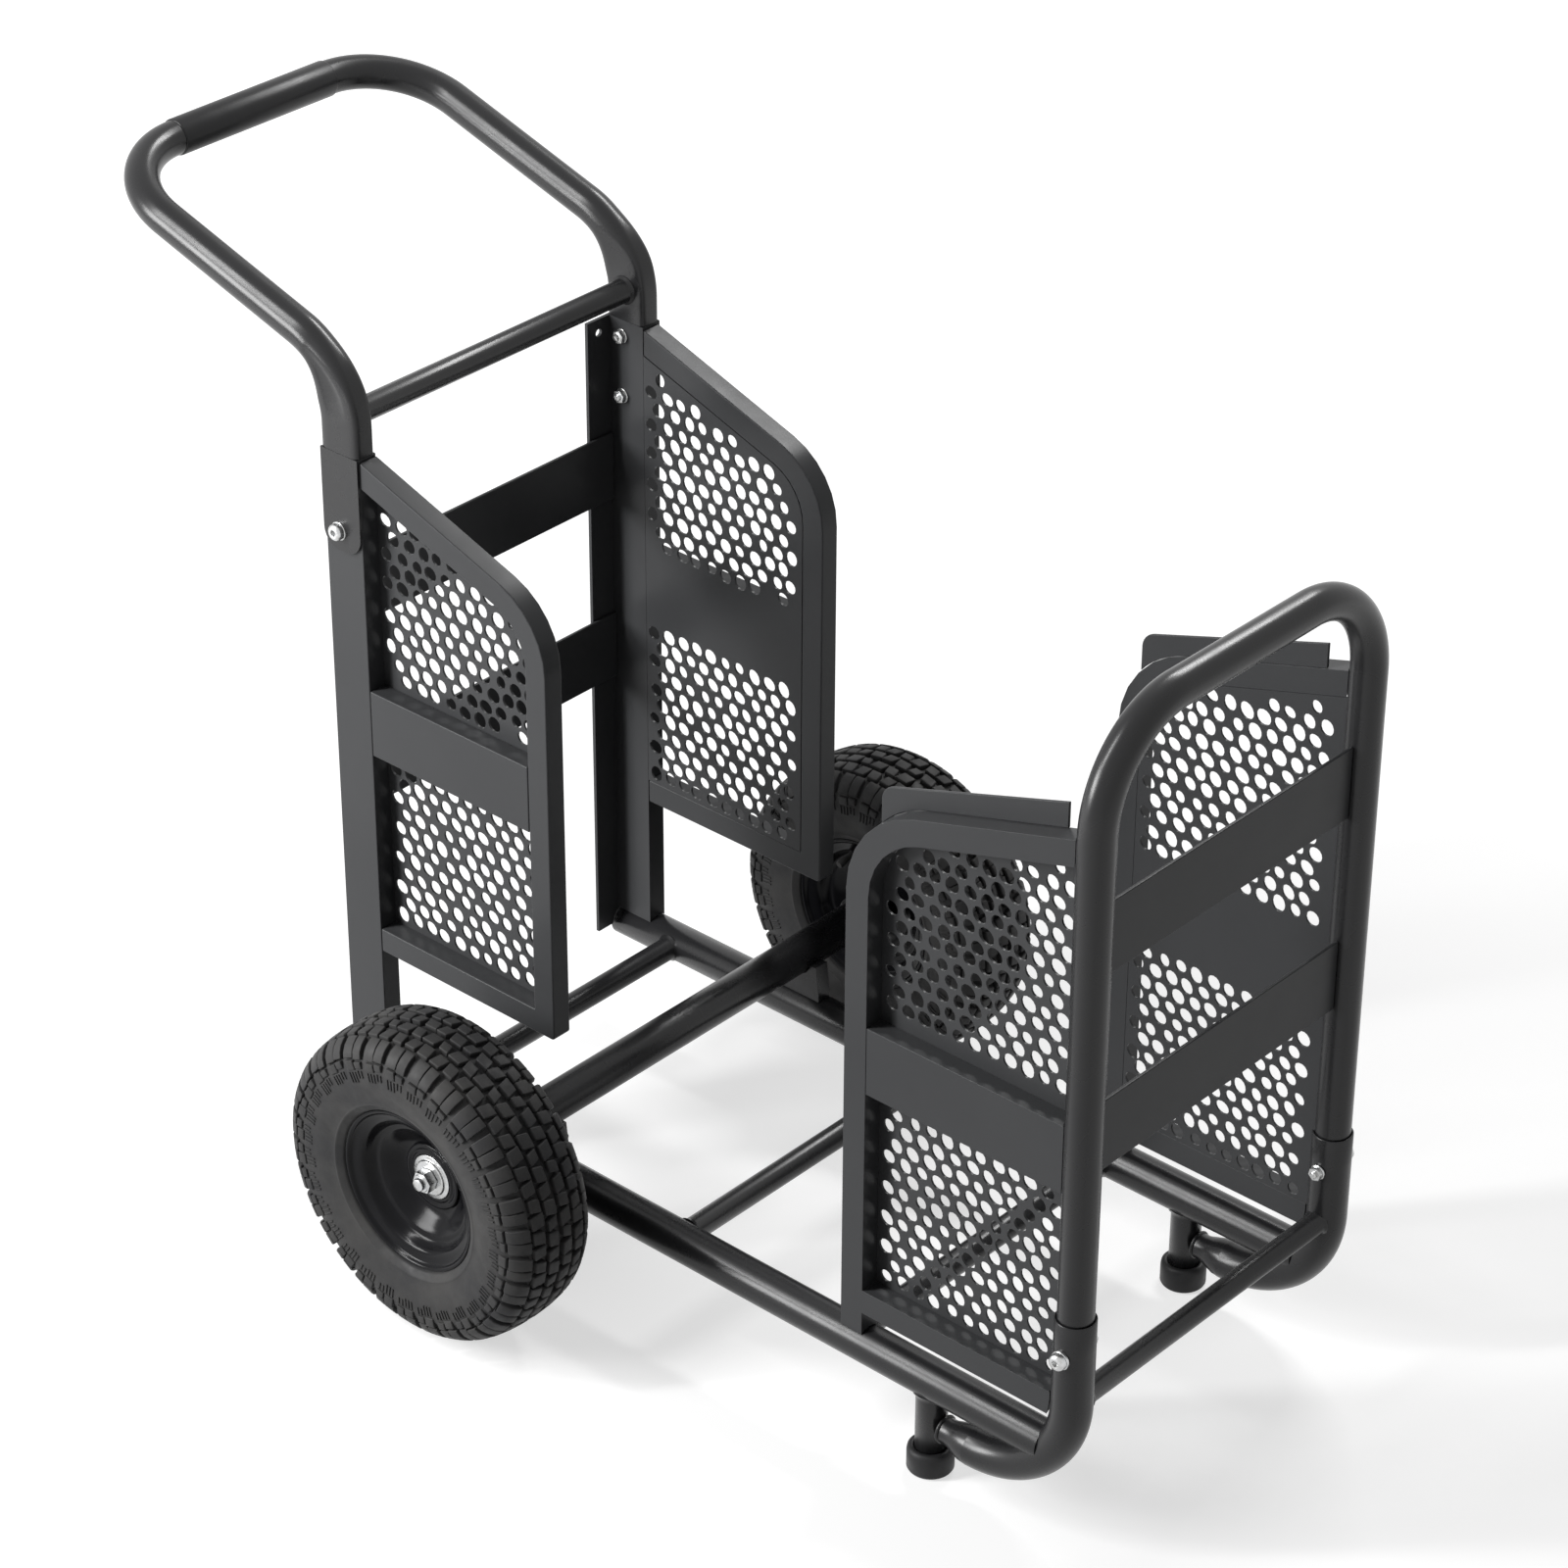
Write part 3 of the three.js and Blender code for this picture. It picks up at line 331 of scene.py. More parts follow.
def hexagon(across: float, turn: float, centre: Point3) -> list[Point3]:
    """Draws a hexagon that faces along Y.

    Args:
        across: size across the flats.
        turn: how far it is turned, in radians.
        centre: its middle.

    Returns:
        The corners.
    """
    corner = across / 2 / math.cos(math.pi / 6)
    angles = [k * math.pi / 3 + turn for k in range(6)]
    return [(centre[0] + corner * math.cos(a), centre[1], centre[2] + corner * math.sin(a))
            for a in angles]


def squarish(value: float) -> float:
    """Pushes a round section's coordinate towards a square with soft corners."""
    return math.copysign(abs(value) ** 0.34, value)


def smooth_step(value: float, low: float, high: float) -> float:
    """Eases from 0 at low to 1 at high."""
    share = min(1.0, max(0.0, (value - low) / (high - low)))
    return share * share * (3 - 2 * share)


def only(kind: type, made: Iterable[object]) -> list:
    """Picks the vertices or the edges out of what an operator made."""
    return [element for element in made if isinstance(element, kind)]


def ease(bm: BMesh, edges: Iterable[BMEdge], width: float, segments: int,
         clamp: bool = False) -> set[BMVert]:
    """Eases some edges.

    Args:
        bm: the mesh.
        edges: the edges.
        width: width of the eased edge.
        segments: steps across it.
        clamp: whether neighbouring edges hold each other back.

    Returns:
        The vertices of the new faces.
    """
    made = bmesh.ops.bevel(bm, geom=list(edges), offset=width, segments=segments, profile=0.5,
                           affect="EDGES", material=-1, clamp_overlap=clamp)
    return {v for f in made["faces"] for v in f.verts}


class Blank:
    """A mesh on the bench, in millimetres, shaped by bmesh operators."""

    def __init__(self) -> None:
        """Starts with nothing on the bench."""
        self.bm = bmesh.new()

    def block(self, low: Point3, high: Point3, edge: float) -> list[BMVert]:
        """Adds a block with chamfered edges.

        Args:
            low: lowest corner.
            high: highest corner.
            edge: width of the chamfer.

        Returns:
            The block's vertices.
        """
        size, middle = Vector(high) - Vector(low), (Vector(high) + Vector(low)) / 2
        matrix = Matrix.Translation(middle) @ Matrix.Diagonal((*size, 1.0))
        verts = bmesh.ops.create_cube(self.bm, size=1.0, matrix=matrix)["verts"]
        eased = ease(self.bm, {e for v in verts for e in v.link_edges}, edge, 1)
        return list(eased | {v for v in verts if v.is_valid})

    def turned(self, profile: Profile, centre: Point3, axis: Point3 = LEFTWARD,
               steps: int = 64) -> None:
        """Adds a body of revolution.

        Args:
            profile: closed or axis-to-axis outline as (radius, place along the axis).
            centre: point on the axis that the places are measured from.
            axis: direction of the axis.
            steps: facets round the axis.
        """
        turn = Vector(LEFTWARD).rotation_difference(Vector(axis)).to_matrix().to_4x4()
        matrix = Matrix.Translation(centre) @ turn
        on_axis = profile[0][0] == 0 and profile[-1][0] == 0
        verts = [self.bm.verts.new(matrix @ Vector((radius, along, 0)))
                 for radius, along in profile]
        pairs = list(zip(verts, verts[1:])) + ([] if on_axis else [(verts[-1], verts[0])])
        edges = [self.bm.edges.new(pair) for pair in pairs]
        bmesh.ops.spin(self.bm, geom=verts + edges, cent=centre, axis=Vector(axis),
                       dvec=(0, 0, 0), angle=FULL_TURN, space=Matrix.Identity(4), steps=steps,
                       use_merge=True, use_duplicate=False)
        bmesh.ops.remove_doubles(self.bm, verts=self.bm.verts[:], dist=SAME_POINT)

    def prism(self, outline: Sequence[Point3], depth: Point3, edge: float, segments: int,
              sharp: float = 25.0) -> list[BMVert]:
        """Adds a prism with eased edges.

        Args:
            outline: corners of its base, in order.
            depth: from the base to the top.
            edge: width of the eased edge.
            segments: steps of the eased edge.
            sharp: angle over which an edge is eased, in degrees.

        Returns:
            The prism's vertices.
        """
        before = set(self.bm.verts)
        base = self.bm.faces.new([self.bm.verts.new(corner) for corner in outline])
        made = bmesh.ops.extrude_face_region(self.bm, geom=[base], use_keep_orig=True)
        top = only(BMVert, made["geom"])
        bmesh.ops.translate(self.bm, vec=depth, verts=top)
        faces = {f for v in top for f in v.link_faces} | {base}
        edges = {e for f in faces for e in f.edges if e.calc_face_angle(0) > math.radians(sharp)}
        ease(self.bm, edges, edge, segments)
        return [v for v in self.bm.verts if v not in before]

    def bead(self, centre: Point3, towards: Point3, radius: float, thick: float,
             onto: float = 0.0) -> None:
        """Lays a weld bead round the foot of a tube that stands on another tube.

        Args:
            centre: point on the tube's middle line, where it first meets the other one.
            towards: direction of the tube's middle line, into the other one.
            radius: outside radius of the tube.
            thick: radius of the bead.
            onto: outside radius of the other tube, if the bead wraps it in Y.
        """
        before = set(self.bm.verts)
        facets = [k * math.pi / 5 for k in range(10)]
        section = [(radius + thick * math.cos(a), thick * math.sin(a)) for a in facets]
        self.turned(section, centre, towards, 48)
        for vert in self.bm.verts:
            if onto > 0 and vert not in before:
                aside = min(abs(vert.co.y - centre[1]), 0.995 * onto)
                vert.co += Vector(towards) * (onto - math.sqrt(onto**2 - aside**2))

    def mirror_y(self) -> None:
        """Turns the whole blank over to the other side of the middle plane."""
        bmesh.ops.scale(self.bm, vec=(1, -1, 1), verts=self.bm.verts[:])
        bmesh.ops.reverse_faces(self.bm, faces=self.bm.faces[:])

    def shift_y(self, way: float) -> None:
        """Moves the whole blank sideways."""
        bmesh.ops.translate(self.bm, vec=(0, way, 0), verts=self.bm.verts[:])

    def rotate(self, verts: Sequence[BMVert], centre: Point3, angle: float) -> None:
        """Turns some of the blank about the axle's direction."""
        bmesh.ops.rotate(self.bm, cent=centre, matrix=Matrix.Rotation(angle, 3, "Y"), verts=verts)

    def array_round(self, verts: Iterable[BMVert], centre: Point3, count: int) -> None:
        """Repeats some of the blank round the axle's direction.

        Args:
            verts: vertices of what is repeated.
            centre: point on the axis.
            count: how many there are in the end.
        """
        chosen = set(verts)
        faces = {f for v in chosen for f in v.link_faces}
        source = list(chosen) + list({e for f in faces for e in f.edges}) + list(faces)
        for k in range(1, count):
            made = bmesh.ops.duplicate(self.bm, geom=source)
            self.rotate(only(BMVert, made["geom"]), centre, FULL_TURN * k / count)

    def take(self, other: "Blank") -> None:
        """Adds a copy of another blank."""
        mesh = bpy.data.meshes.new("copy")
        other.bm.to_mesh(mesh)
        self.bm.from_mesh(mesh)
        bpy.data.meshes.remove(mesh)


class TubeRun:
    """A round tube that grows from its first ring, by straight runs and bends."""

    def __init__(self, blank: Blank, start: Point3, heading: Point3, radius: float) -> None:
        """Sets the first ring.

        Args:
            blank: where the tube grows.
            start: centre of the first ring.
            heading: direction of the first run.
            radius: outside radius.
        """
        self.bm = blank.bm
        self.at = Vector(start)
        self.heading = Vector(heading).normalized()
        turn = Vector(UP).rotation_difference(self.heading).to_matrix().to_4x4()
        ring = bmesh.ops.create_circle(self.bm, cap_ends=False, segments=56, radius=radius,
                                       matrix=Matrix.Translation(self.at) @ turn)["verts"]
        self.edges = list({e for v in ring for e in v.link_edges})
        self.first = list(self.edges)

    def straight(self, length: float, pieces: int = 1) -> "TubeRun":
        """Grows a straight run.

        Args:
            length: how far.
            pieces: rings that share it.

        Returns:
            The same run.
        """
        for _ in range(pieces):
            made = bmesh.ops.extrude_edge_only(self.bm, edges=self.edges)["geom"]
            verts = only(BMVert, made)
            bmesh.ops.translate(self.bm, vec=self.heading * length / pieces, verts=verts)
            chosen = set(verts)
            self.edges = [e for e in only(BMEdge, made) if chosen.issuperset(e.verts)]
            self.at += self.heading * length / pieces
        return self

    def bend(self, radius: float, heading: Point3, steps: int) -> "TubeRun":
        """Grows a bend.

        Args:
            radius: bend radius of the tube's middle line.
            heading: direction after the bend.
            steps: rings of the bend.

        Returns:
            The same run.
        """
        after = Vector(heading).normalized()
        angle = self.heading.angle(after)
        side = (after - self.heading * self.heading.dot(after)).normalized()
        centre = self.at + side * radius
        made = bmesh.ops.spin(self.bm, geom=self.edges, cent=centre,
                              axis=self.heading.cross(after).normalized(), dvec=(0, 0, 0),
                              angle=angle, space=Matrix.Identity(4), steps=steps,
                              use_merge=False, use_duplicate=False)
        self.edges = only(BMEdge, made["geom_last"])
        self.at = centre + (self.heading * math.sin(angle) - side * math.cos(angle)) * radius
        self.heading = after
        return self

    def taper(self, length: float, radius_ratio: float) -> "TubeRun":
        """Grows a run that ends wider or narrower than it starts.

        Args:
            length: how far.
            radius_ratio: end radius over start radius.

        Returns:
            The same run.
        """
        self.straight(length)
        verts = list({v for e in self.edges for v in e.verts})
        bmesh.ops.scale(self.bm, vec=(radius_ratio,) * 3, space=Matrix.Translation(-self.at),
                        verts=verts)
        return self

    def cap(self, ring: list[BMEdge]) -> None:
        """Closes one end of the tube with a face."""
        bmesh.ops.holes_fill(self.bm, edges=ring, sides=0)


@dataclass
class Bench:
    """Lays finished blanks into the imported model's frame and reports them."""

    axle_x: float
    collection: Collection
    materials: dict[str, Material] = field(default_factory=dict)

    def lay(self, blank: Blank, name: str, nodes: Sequence[str], finish: Finish,
            side: Side = Side.LEFT, body: str = "cart", surface: Surface = Surface.ROUND) -> None:
        """Turns a blank into a piece of the cart.

        Args:
            blank: the shaped mesh.
            name: the piece's name.
            nodes: CAD nodes that it stands for.
            finish: its finish.
            side: the side of the cart that it goes to.
            body: the body that it rides on.
            surface: how its faces are shaded.
        """
        if side is Side.RIGHT:
            blank.mirror_y()
        bm = blank.bm
        bmesh.ops.remove_doubles(bm, verts=bm.verts[:], dist=SAME_POINT)
        bmesh.ops.recalc_face_normals(bm, faces=bm.faces[:])
        bmesh.ops.scale(bm, vec=(MILLIMETRE,) * 3, verts=bm.verts[:])
        bmesh.ops.translate(bm, vec=(self.axle_x, 0, 0), verts=bm.verts[:])
        self.dress(bm, name, nodes, finish, body, surface)

    def ease_node(self, node: str, finish: Finish, edge: float) -> None:
        """Lets a copy of a CAD node with eased edges stand for the node.

        Args:
            node: the CAD node.
            finish: the copy's finish.
            edge: width of the eased edge.
        """
        bm = bmesh.new()
        bm.from_mesh(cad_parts[node].data)
        bmesh.ops.remove_doubles(bm, verts=bm.verts[:], dist=SAME_CAD_POINT)
        bmesh.ops.dissolve_limit(bm, angle_limit=math.radians(0.6), verts=bm.verts[:],
                                 edges=bm.edges[:])
        sharp = [e for e in bm.edges
                 if len(e.link_faces) == 2 and e.calc_face_angle(0) > math.radians(28)]
        ease(bm, sharp, edge * MILLIMETRE, 3, clamp=True)
        self.dress(bm, f"{node}_eased", [node], finish, "cart", Surface.MACHINED)

    def dress(self, bm: BMesh, name: str, nodes: Sequence[str], finish: Finish, body: str,
              surface: Surface) -> None:
        """Gives a mesh in the frame its object, its shading and its finish.

        Args:
            bm: the mesh, in metres.
            name: the piece's name.
            nodes: CAD nodes that it stands for.
            finish: its finish.
            body: the body that it rides on.
            surface: how its faces are shaded.
        """
        mesh: Mesh = bpy.data.meshes.new(name)
        bm.to_mesh(mesh)
        bm.free()
        mesh.shade_smooth()
        mesh.set_sharp_from_angle(angle=math.radians(surface.value))
        if finish.slot not in self.materials:
            self.materials[finish.slot] = finish.material()
        mesh.materials.append(self.materials[finish.slot])
        piece = bpy.data.objects.new(name, mesh)
        self.collection.objects.link(piece)
        if surface is not Surface.ROUND:
            piece.modifiers.new("even_faces", "WEIGHTED_NORMAL").keep_sharp = True
        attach(piece, body)
        if nodes:
            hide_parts(*nodes)
        log.info("%-28s %6d faces for %s", name, len(mesh.polygons), ", ".join(nodes) or "nothing")


# ---------------------------------------------------------------------------
# Sub-assemblies
# ---------------------------------------------------------------------------


@dataclass
class PushHandle:
    """The looped handle with its pressed legs, grip sleeve, cross bar and tongues."""

    bench: Bench
    tube_radius: float = 14.0
    post_x: float = -185.0
    foot: float = 659.3
    corner_height: float = 730.0
    arm_angle: float = math.radians(17.2)
    bend_radius: float = 68.0
    grip_x: float = -451.0
    grip_corner: float = 75.0
    pressed_length: float = 40.0
    pressed_depth: float = 20.3
    pressed_shift: float = 1.15
    pressed_turn: float = 16.0
    round_turn: float = 58.0
    groove_depth: float = 3.0
    groove_width: float = 4.5
    groove_rise: Point = (4.0, 18.0)
    groove_fall: Point = (34.0, 66.0)
    sleeve: float = 1.0
    rolled_end: Profile = ((-0.9, 0.0), (-0.25, 0.35), (0.0, 1.2))
    bar_radius: float = 10.0
    bar_height: float = 686.0
    bar_reach: float = HALF_WIDTH - 9.3
    bar_fillet: Profile = ((2.2, 0.0), (1.6, 0.9), (0.5, 2.0), (0.0, 3.0))
    tongue_edge: float = 0.7

    @property
    def bend_turn(self) -> float:
        """Angle of the bend over the post, in radians."""
        return math.pi / 2 - self.arm_angle

    @property
    def bend_start(self) -> float:
        """Height at which the bend over the post begins."""
        return self.corner_height - self.bend_radius * math.tan(self.bend_turn / 2)

    @property
    def grip_centre(self) -> Point3:
        """Middle of the grip."""
        rise = (self.post_x - self.grip_x) * math.tan(self.arm_angle)
        return (self.grip_x, 0, self.corner_height + rise)

    def loop(self) -> None:
        """Bends the loop from leg to leg and presses its legs."""
        arm = Vector((-math.cos(self.arm_angle), 0, math.sin(self.arm_angle)))
        reach = (self.post_x - self.grip_x) / math.cos(self.arm_angle)
        run = reach - self.bend_radius * math.tan(self.bend_turn / 2) - self.grip_corner
        leg = self.bend_start - self.foot
        blank = Blank()
        tube = TubeRun(blank, (self.post_x, -HALF_WIDTH, self.foot), UP, self.tube_radius)
        tube.straight(leg, 5).bend(self.bend_radius, arm, 40).straight(run, 4)
        tube.bend(self.grip_corner, LEFTWARD, 28)
        tube.straight(2 * (HALF_WIDTH - self.grip_corner), 2)
        tube.bend(self.grip_corner, -arm, 28)
        tube.straight(run, 4).bend(self.bend_radius, DOWN, 40).straight(leg, 5)
        for ring in (tube.first, tube.edges):
            tube.cap(ring)
        for vert in blank.bm.verts:
            vert.co = self.pressed(vert.co)
        self.bench.lay(blank, "handle_loop", ["handle_tube"], BLACK, surface=Surface.MOULDED)

    def pressed(self, point: Vector) -> Vector:
        """Moves a point of the round tube to where the press leaves it.

        Args:
            point: a point of the tube's skin.

        Returns:
            The pressed point.
        """
        centre_x = self.post_x - self.bend_radius
        above = point.z > self.bend_start
        angle = math.atan2(point.z - self.bend_start, point.x - centre_x) if above else 0.0
        turn = math.degrees(angle)
        if point.x < centre_x or turn > self.round_turn:
            return point.copy()
        out = point.x - centre_x
        if above:
            out = math.hypot(out, point.z - self.bend_start)
        u, v = out - self.bend_radius, abs(point.y) - HALF_WIDTH
        around = math.atan2(v, u)
        flat_u = squarish(math.cos(around)) * self.pressed_length / 2
        flat_v = squarish(math.sin(around)) * self.pressed_depth / 2 + self.pressed_shift
        share = 1 - smooth_step(turn, self.pressed_turn, self.round_turn)
        new_u = u + (flat_u - u) * share
        new_v = v + (flat_v - v) * share
        if v > 0:
            fade = smooth_step(turn, *self.groove_rise) * (1 - smooth_step(turn, *self.groove_fall))
            new_v -= self.groove_depth * fade * math.exp(-((new_u / self.groove_width) ** 2))
        reach = self.bend_radius + new_u
        z = self.bend_start + reach * math.sin(angle) if above else point.z
        y = math.copysign(HALF_WIDTH + new_v, point.y)
        return Vector((centre_x + reach * math.cos(angle), y, z))

    def grip(self) -> None:
        """Turns the sleeve on the grip bar, with rolled ends."""
        reach = HALF_WIDTH - self.grip_corner
        outside = self.tube_radius + self.sleeve
        end = [(outside + out, reach - back) for out, back in self.rolled_end]
        blank = Blank()
        blank.turned(mirrored([(self.tube_radius - 0.2, reach), *end]), self.grip_centre)
        self.bench.lay(blank, "grip_sleeve", ["handle_grip"], SLEEVE)

    def cross_bar(self) -> None:
        """Turns the cross bar with a weld fillet at each leg."""
        blank = Blank()
        blank.turned(welded(self.bar_radius, self.bar_reach, self.bar_fillet),
                     (self.post_x, 0, self.bar_height), steps=40)
        self.bench.lay(blank, "handle_cross_rod", ["handle_cross_bar"], BLACK)

    def build(self) -> None:
        """Builds every piece of the handle."""
        self.loop()
        self.grip()
        self.cross_bar()
        for side in Side:
            self.bench.ease_node(f"handle_tongue_{side.word}", BLACK, self.tongue_edge)


@dataclass
class FrontHoop:
    """The front hoop, its straps, sockets and the cross tube between them."""

    bench: Bench
    tube_radius: float = 14.0
    top: float = 696.0
    bend_radius: float = 82.0
    mouth: float = 209.0
    hoop_foot: float = 187.0
    bore_foot: float = 189.0
    socket_radius: float = 15.9
    bore_radius: float = 14.5
    lip: float = 0.8
    lip_round: float = 0.5
    bore_round: float = 0.4
    socket_bend: float = 90.0
    run_height: float = 42.0
    foot_radius: float = 12.5
    neck_radius: float = 10.6
    neck_from: float = 30.0
    neck_steps: Profile = ((7.0, 0.96), (8.0, 0.84))
    neck_end: float = 7.0
    stub_ratio: float = 0.7
    neck_bead: float = 1.5
    bead_off: float = 1.2
    cross_height: float = 130.0
    cross_radius: float = 9.0
    cross_reach: float = HALF_WIDTH - 13.2
    cross_fillet: Profile = ((2.0, 0.0), (1.2, 1.4), (0.0, 3.2))
    strap_edge: float = 0.8

    def hoop(self) -> None:
        """Bends the hoop from one socket to the other."""
        blank = Blank()
        leg = self.top - self.bend_radius - self.hoop_foot
        tube = TubeRun(blank, (HOOP_X, -HALF_WIDTH, self.hoop_foot), UP, self.tube_radius)
        tube.straight(leg, 4).bend(self.bend_radius, LEFTWARD, 36)
        tube.straight(2 * (HALF_WIDTH - self.bend_radius), 2)
        tube.bend(self.bend_radius, DOWN, 36).straight(leg, 4)
        for ring in (tube.first, tube.edges):
            tube.cap(ring)
        self.bench.lay(blank, "front_hoop_tube", ["front_hoop"], BLACK)

    def socket(self, side: Side) -> None:
        """Bends one socket tube, opens its mouth, necks it and adds its weld.

        Args:
            side: which side of the cart.
        """
        blank = Blank()
        inner = TubeRun(blank, (HOOP_X, HALF_WIDTH, self.bore_foot), UP, self.bore_radius)
        inner.straight(self.mouth - self.lip - self.bore_foot)
        inner.taper(self.lip, 1 + self.bore_round / self.bore_radius)
        inner.cap(inner.first)
        narrow = self.socket_radius - self.lip_round
        outer = TubeRun(blank, (HOOP_X, HALF_WIDTH, self.mouth), DOWN, narrow)
        bmesh.ops.bridge_loops(blank.bm, edges=inner.edges + outer.first)
        outer.taper(self.lip, self.socket_radius / narrow)
        outer.straight(outer.at.z - self.run_height - self.socket_bend, 3)
        outer.bend(self.socket_bend, REARWARD, 32)
        foot_face = FOOT_X + self.foot_radius
        outer.straight(outer.at.x - foot_face - self.neck_from)
        radius = self.socket_radius
        for length, ratio in self.neck_steps:
            outer.taper(length, ratio)
            radius *= ratio
        outer.taper(self.neck_end, self.neck_radius / radius)
        outer.straight(outer.at.x - foot_face - self.lip).taper(self.lip, self.stub_ratio)
        outer.straight(outer.at.x - FOOT_X).cap(outer.edges)
        blank.bead((foot_face + self.bead_off, HALF_WIDTH, self.run_height), REARWARD,
                   self.neck_radius, self.neck_bead)
        name = f"socket_tube_{side.word}"
        self.bench.lay(blank, name, [f"front_socket_{side.word}"], BLACK, side)

    def cross_tube(self) -> None:
        """Turns the cross tube between the sockets, with its weld fillets."""
        blank = Blank()
        blank.turned(welded(self.cross_radius, self.cross_reach, self.cross_fillet),
                     (HOOP_X, 0, self.cross_height), steps=36)
        self.bench.lay(blank, "front_cross_rod", ["front_cross_tube"], BLACK)

    def build(self) -> None:
        """Builds every piece of the front."""
        self.hoop()
        self.cross_tube()
        for side in Side:
            self.socket(side)
        for strap in ("front_strap_upper", "front_strap_lower"):
            self.bench.ease_node(strap, CHARCOAL, self.strap_edge)


@dataclass
class Undercarriage:
    """The rails, deck bars, axle tube, axle rod and brackets at the bottom."""

    bench: Bench
    rail_wall: float = 2.0
    rail_open: float = 40.0
    rear_end: float = -205.0
    front_end: float = 521.0
    deck_radius: float = 10.0
    deck_reach: float = HALF_WIDTH - 12.5
    deck_places: tuple[float, ...] = (-140.0, 150.0, 330.0)
    deck_fillet: Profile = ((2.4, 0.0), (1.2, 1.8), (0.0, 4.2))
    sleeve_radius: float = 16.0
    sleeve_bore: float = 8.3
    sleeve_half: float = 225.0
    chamfer: float = 1.0
    rod_radius: float = 8.0
    rod_end: float = 5.4
    rod_half: float = 291.5
    bracket_edge: float = 1.0

    def rail(self, side: Side) -> None:
        """Turns one rail, open at its rear end.

        Args:
            side: which side of the cart.
        """
        r, bore = RAIL_RADIUS, RAIL_RADIUS - self.rail_wall
        length = self.front_end - self.rear_end
        profile = [(0, self.rail_open), (bore, self.rail_open), (bore, 0.4), (bore + 0.4, 0),
                   (r - 0.4, 0), (r, 0.5), (r, length / 2), (r, length), (0, length)]
        blank = Blank()
        blank.turned(profile, (self.rear_end, HALF_WIDTH, RAIL_HEIGHT), FORWARD, 56)
        self.bench.lay(blank, f"rail_tube_{side.word}", [f"bottom_rail_{side.word}"], BLACK, side)

    def deck(self) -> None:
        """Turns the deck bars with a weld fillet at each rail."""
        profile = welded(self.deck_radius, self.deck_reach, self.deck_fillet)
        for number, x in enumerate(self.deck_places, start=1):
            blank = Blank()
            blank.turned(profile, (x, 0, RAIL_HEIGHT), steps=36)
            self.bench.lay(blank, f"deck_rod_{number}", [f"deck_bar_{number}"], BLACK)

    def axle_sleeve(self) -> None:
        """Turns the axle tube with chamfered ends."""
        r, half, chamfer = self.sleeve_radius, self.sleeve_half, self.chamfer
        end = [(self.sleeve_bore, half), (r - chamfer, half), (r, half - chamfer)]
        blank = Blank()
        blank.turned(mirrored(end), (0, 0, AXLE_HEIGHT), steps=56)
        self.bench.lay(blank, "axle_sleeve", ["axle_tube"], BLACK)

    def axle_rod(self) -> None:
        """Turns the rod that both wheels run on, with its threaded ends turned down."""
        r, e, h = self.rod_radius, self.rod_end, self.rod_half
        end = [(0, h), (e - 0.9, h), (e - 0.2, h - 0.4), (e, h - 1.2), (e, h - 17.0), (r, h - 18.5)]
        blank = Blank()
        blank.turned(mirrored(end), (0, 0, AXLE_HEIGHT), steps=40)
        self.bench.lay(blank, "axle_shaft", ["axle_rod"], ZINC)

    def build(self) -> None:
        """Builds every piece at the bottom but the rod, which follows the bolts."""
        self.deck()
        self.axle_sleeve()
        for side in Side:
            self.rail(side)
            self.bench.ease_node(f"axle_bracket_{side.word}", BLACK, self.bracket_edge)


@dataclass
class FrontFoot:
    """One front foot: the round post under the rail and its moulded cap."""

    bench: Bench
    side: Side
    post_radius: float = 12.5
    post_top: float = 74.0
    post_end: Profile = ((0.0, 68.0), (0.6, 71.0), (2.4, 74.0))
    post_bead: float = 1.9
    cap_radius: float = 18.5
    cap_height: float = 21.0
    cap_skirt: Profile = ((-2.2, 0.0), (-0.8, 0.5), (0.0, 2.0), (0.0, 16.0), (-0.5, 19.0),
                          (-2.0, 20.6), (-3.6, 21.0))
    steps: int = 48

    def build(self) -> None:
        """Turns the post and the cap."""
        word, r, foot = self.side.word, self.post_radius, (FOOT_X, HALF_WIDTH, 0)
        post = Blank()
        post.turned([(0, 4.5), (r - 0.5, 4.5), (r, 5), *stepped(r, self.post_end),
                     (0, self.post_top)], foot, UP, self.steps)
        post.bead((FOOT_X, HALF_WIDTH, RAIL_HEIGHT - RAIL_RADIUS), UP, r + 0.2, self.post_bead,
                  RAIL_RADIUS)
        self.bench.lay(post, f"foot_leg_{word}", [f"foot_post_{word}"], BLACK, self.side)
        h = self.cap_height
        cap = Blank()
        cap.turned([(0, 0), *stepped(self.cap_radius, self.cap_skirt), (r + 0.9, h),
                    (r + 0.25, h - 0.8), (r + 0.25, 5), (0, 5)], foot, UP, self.steps)
        self.bench.lay(cap, f"foot_boot_{word}", [f"foot_cap_{word}"], CAP, self.side)


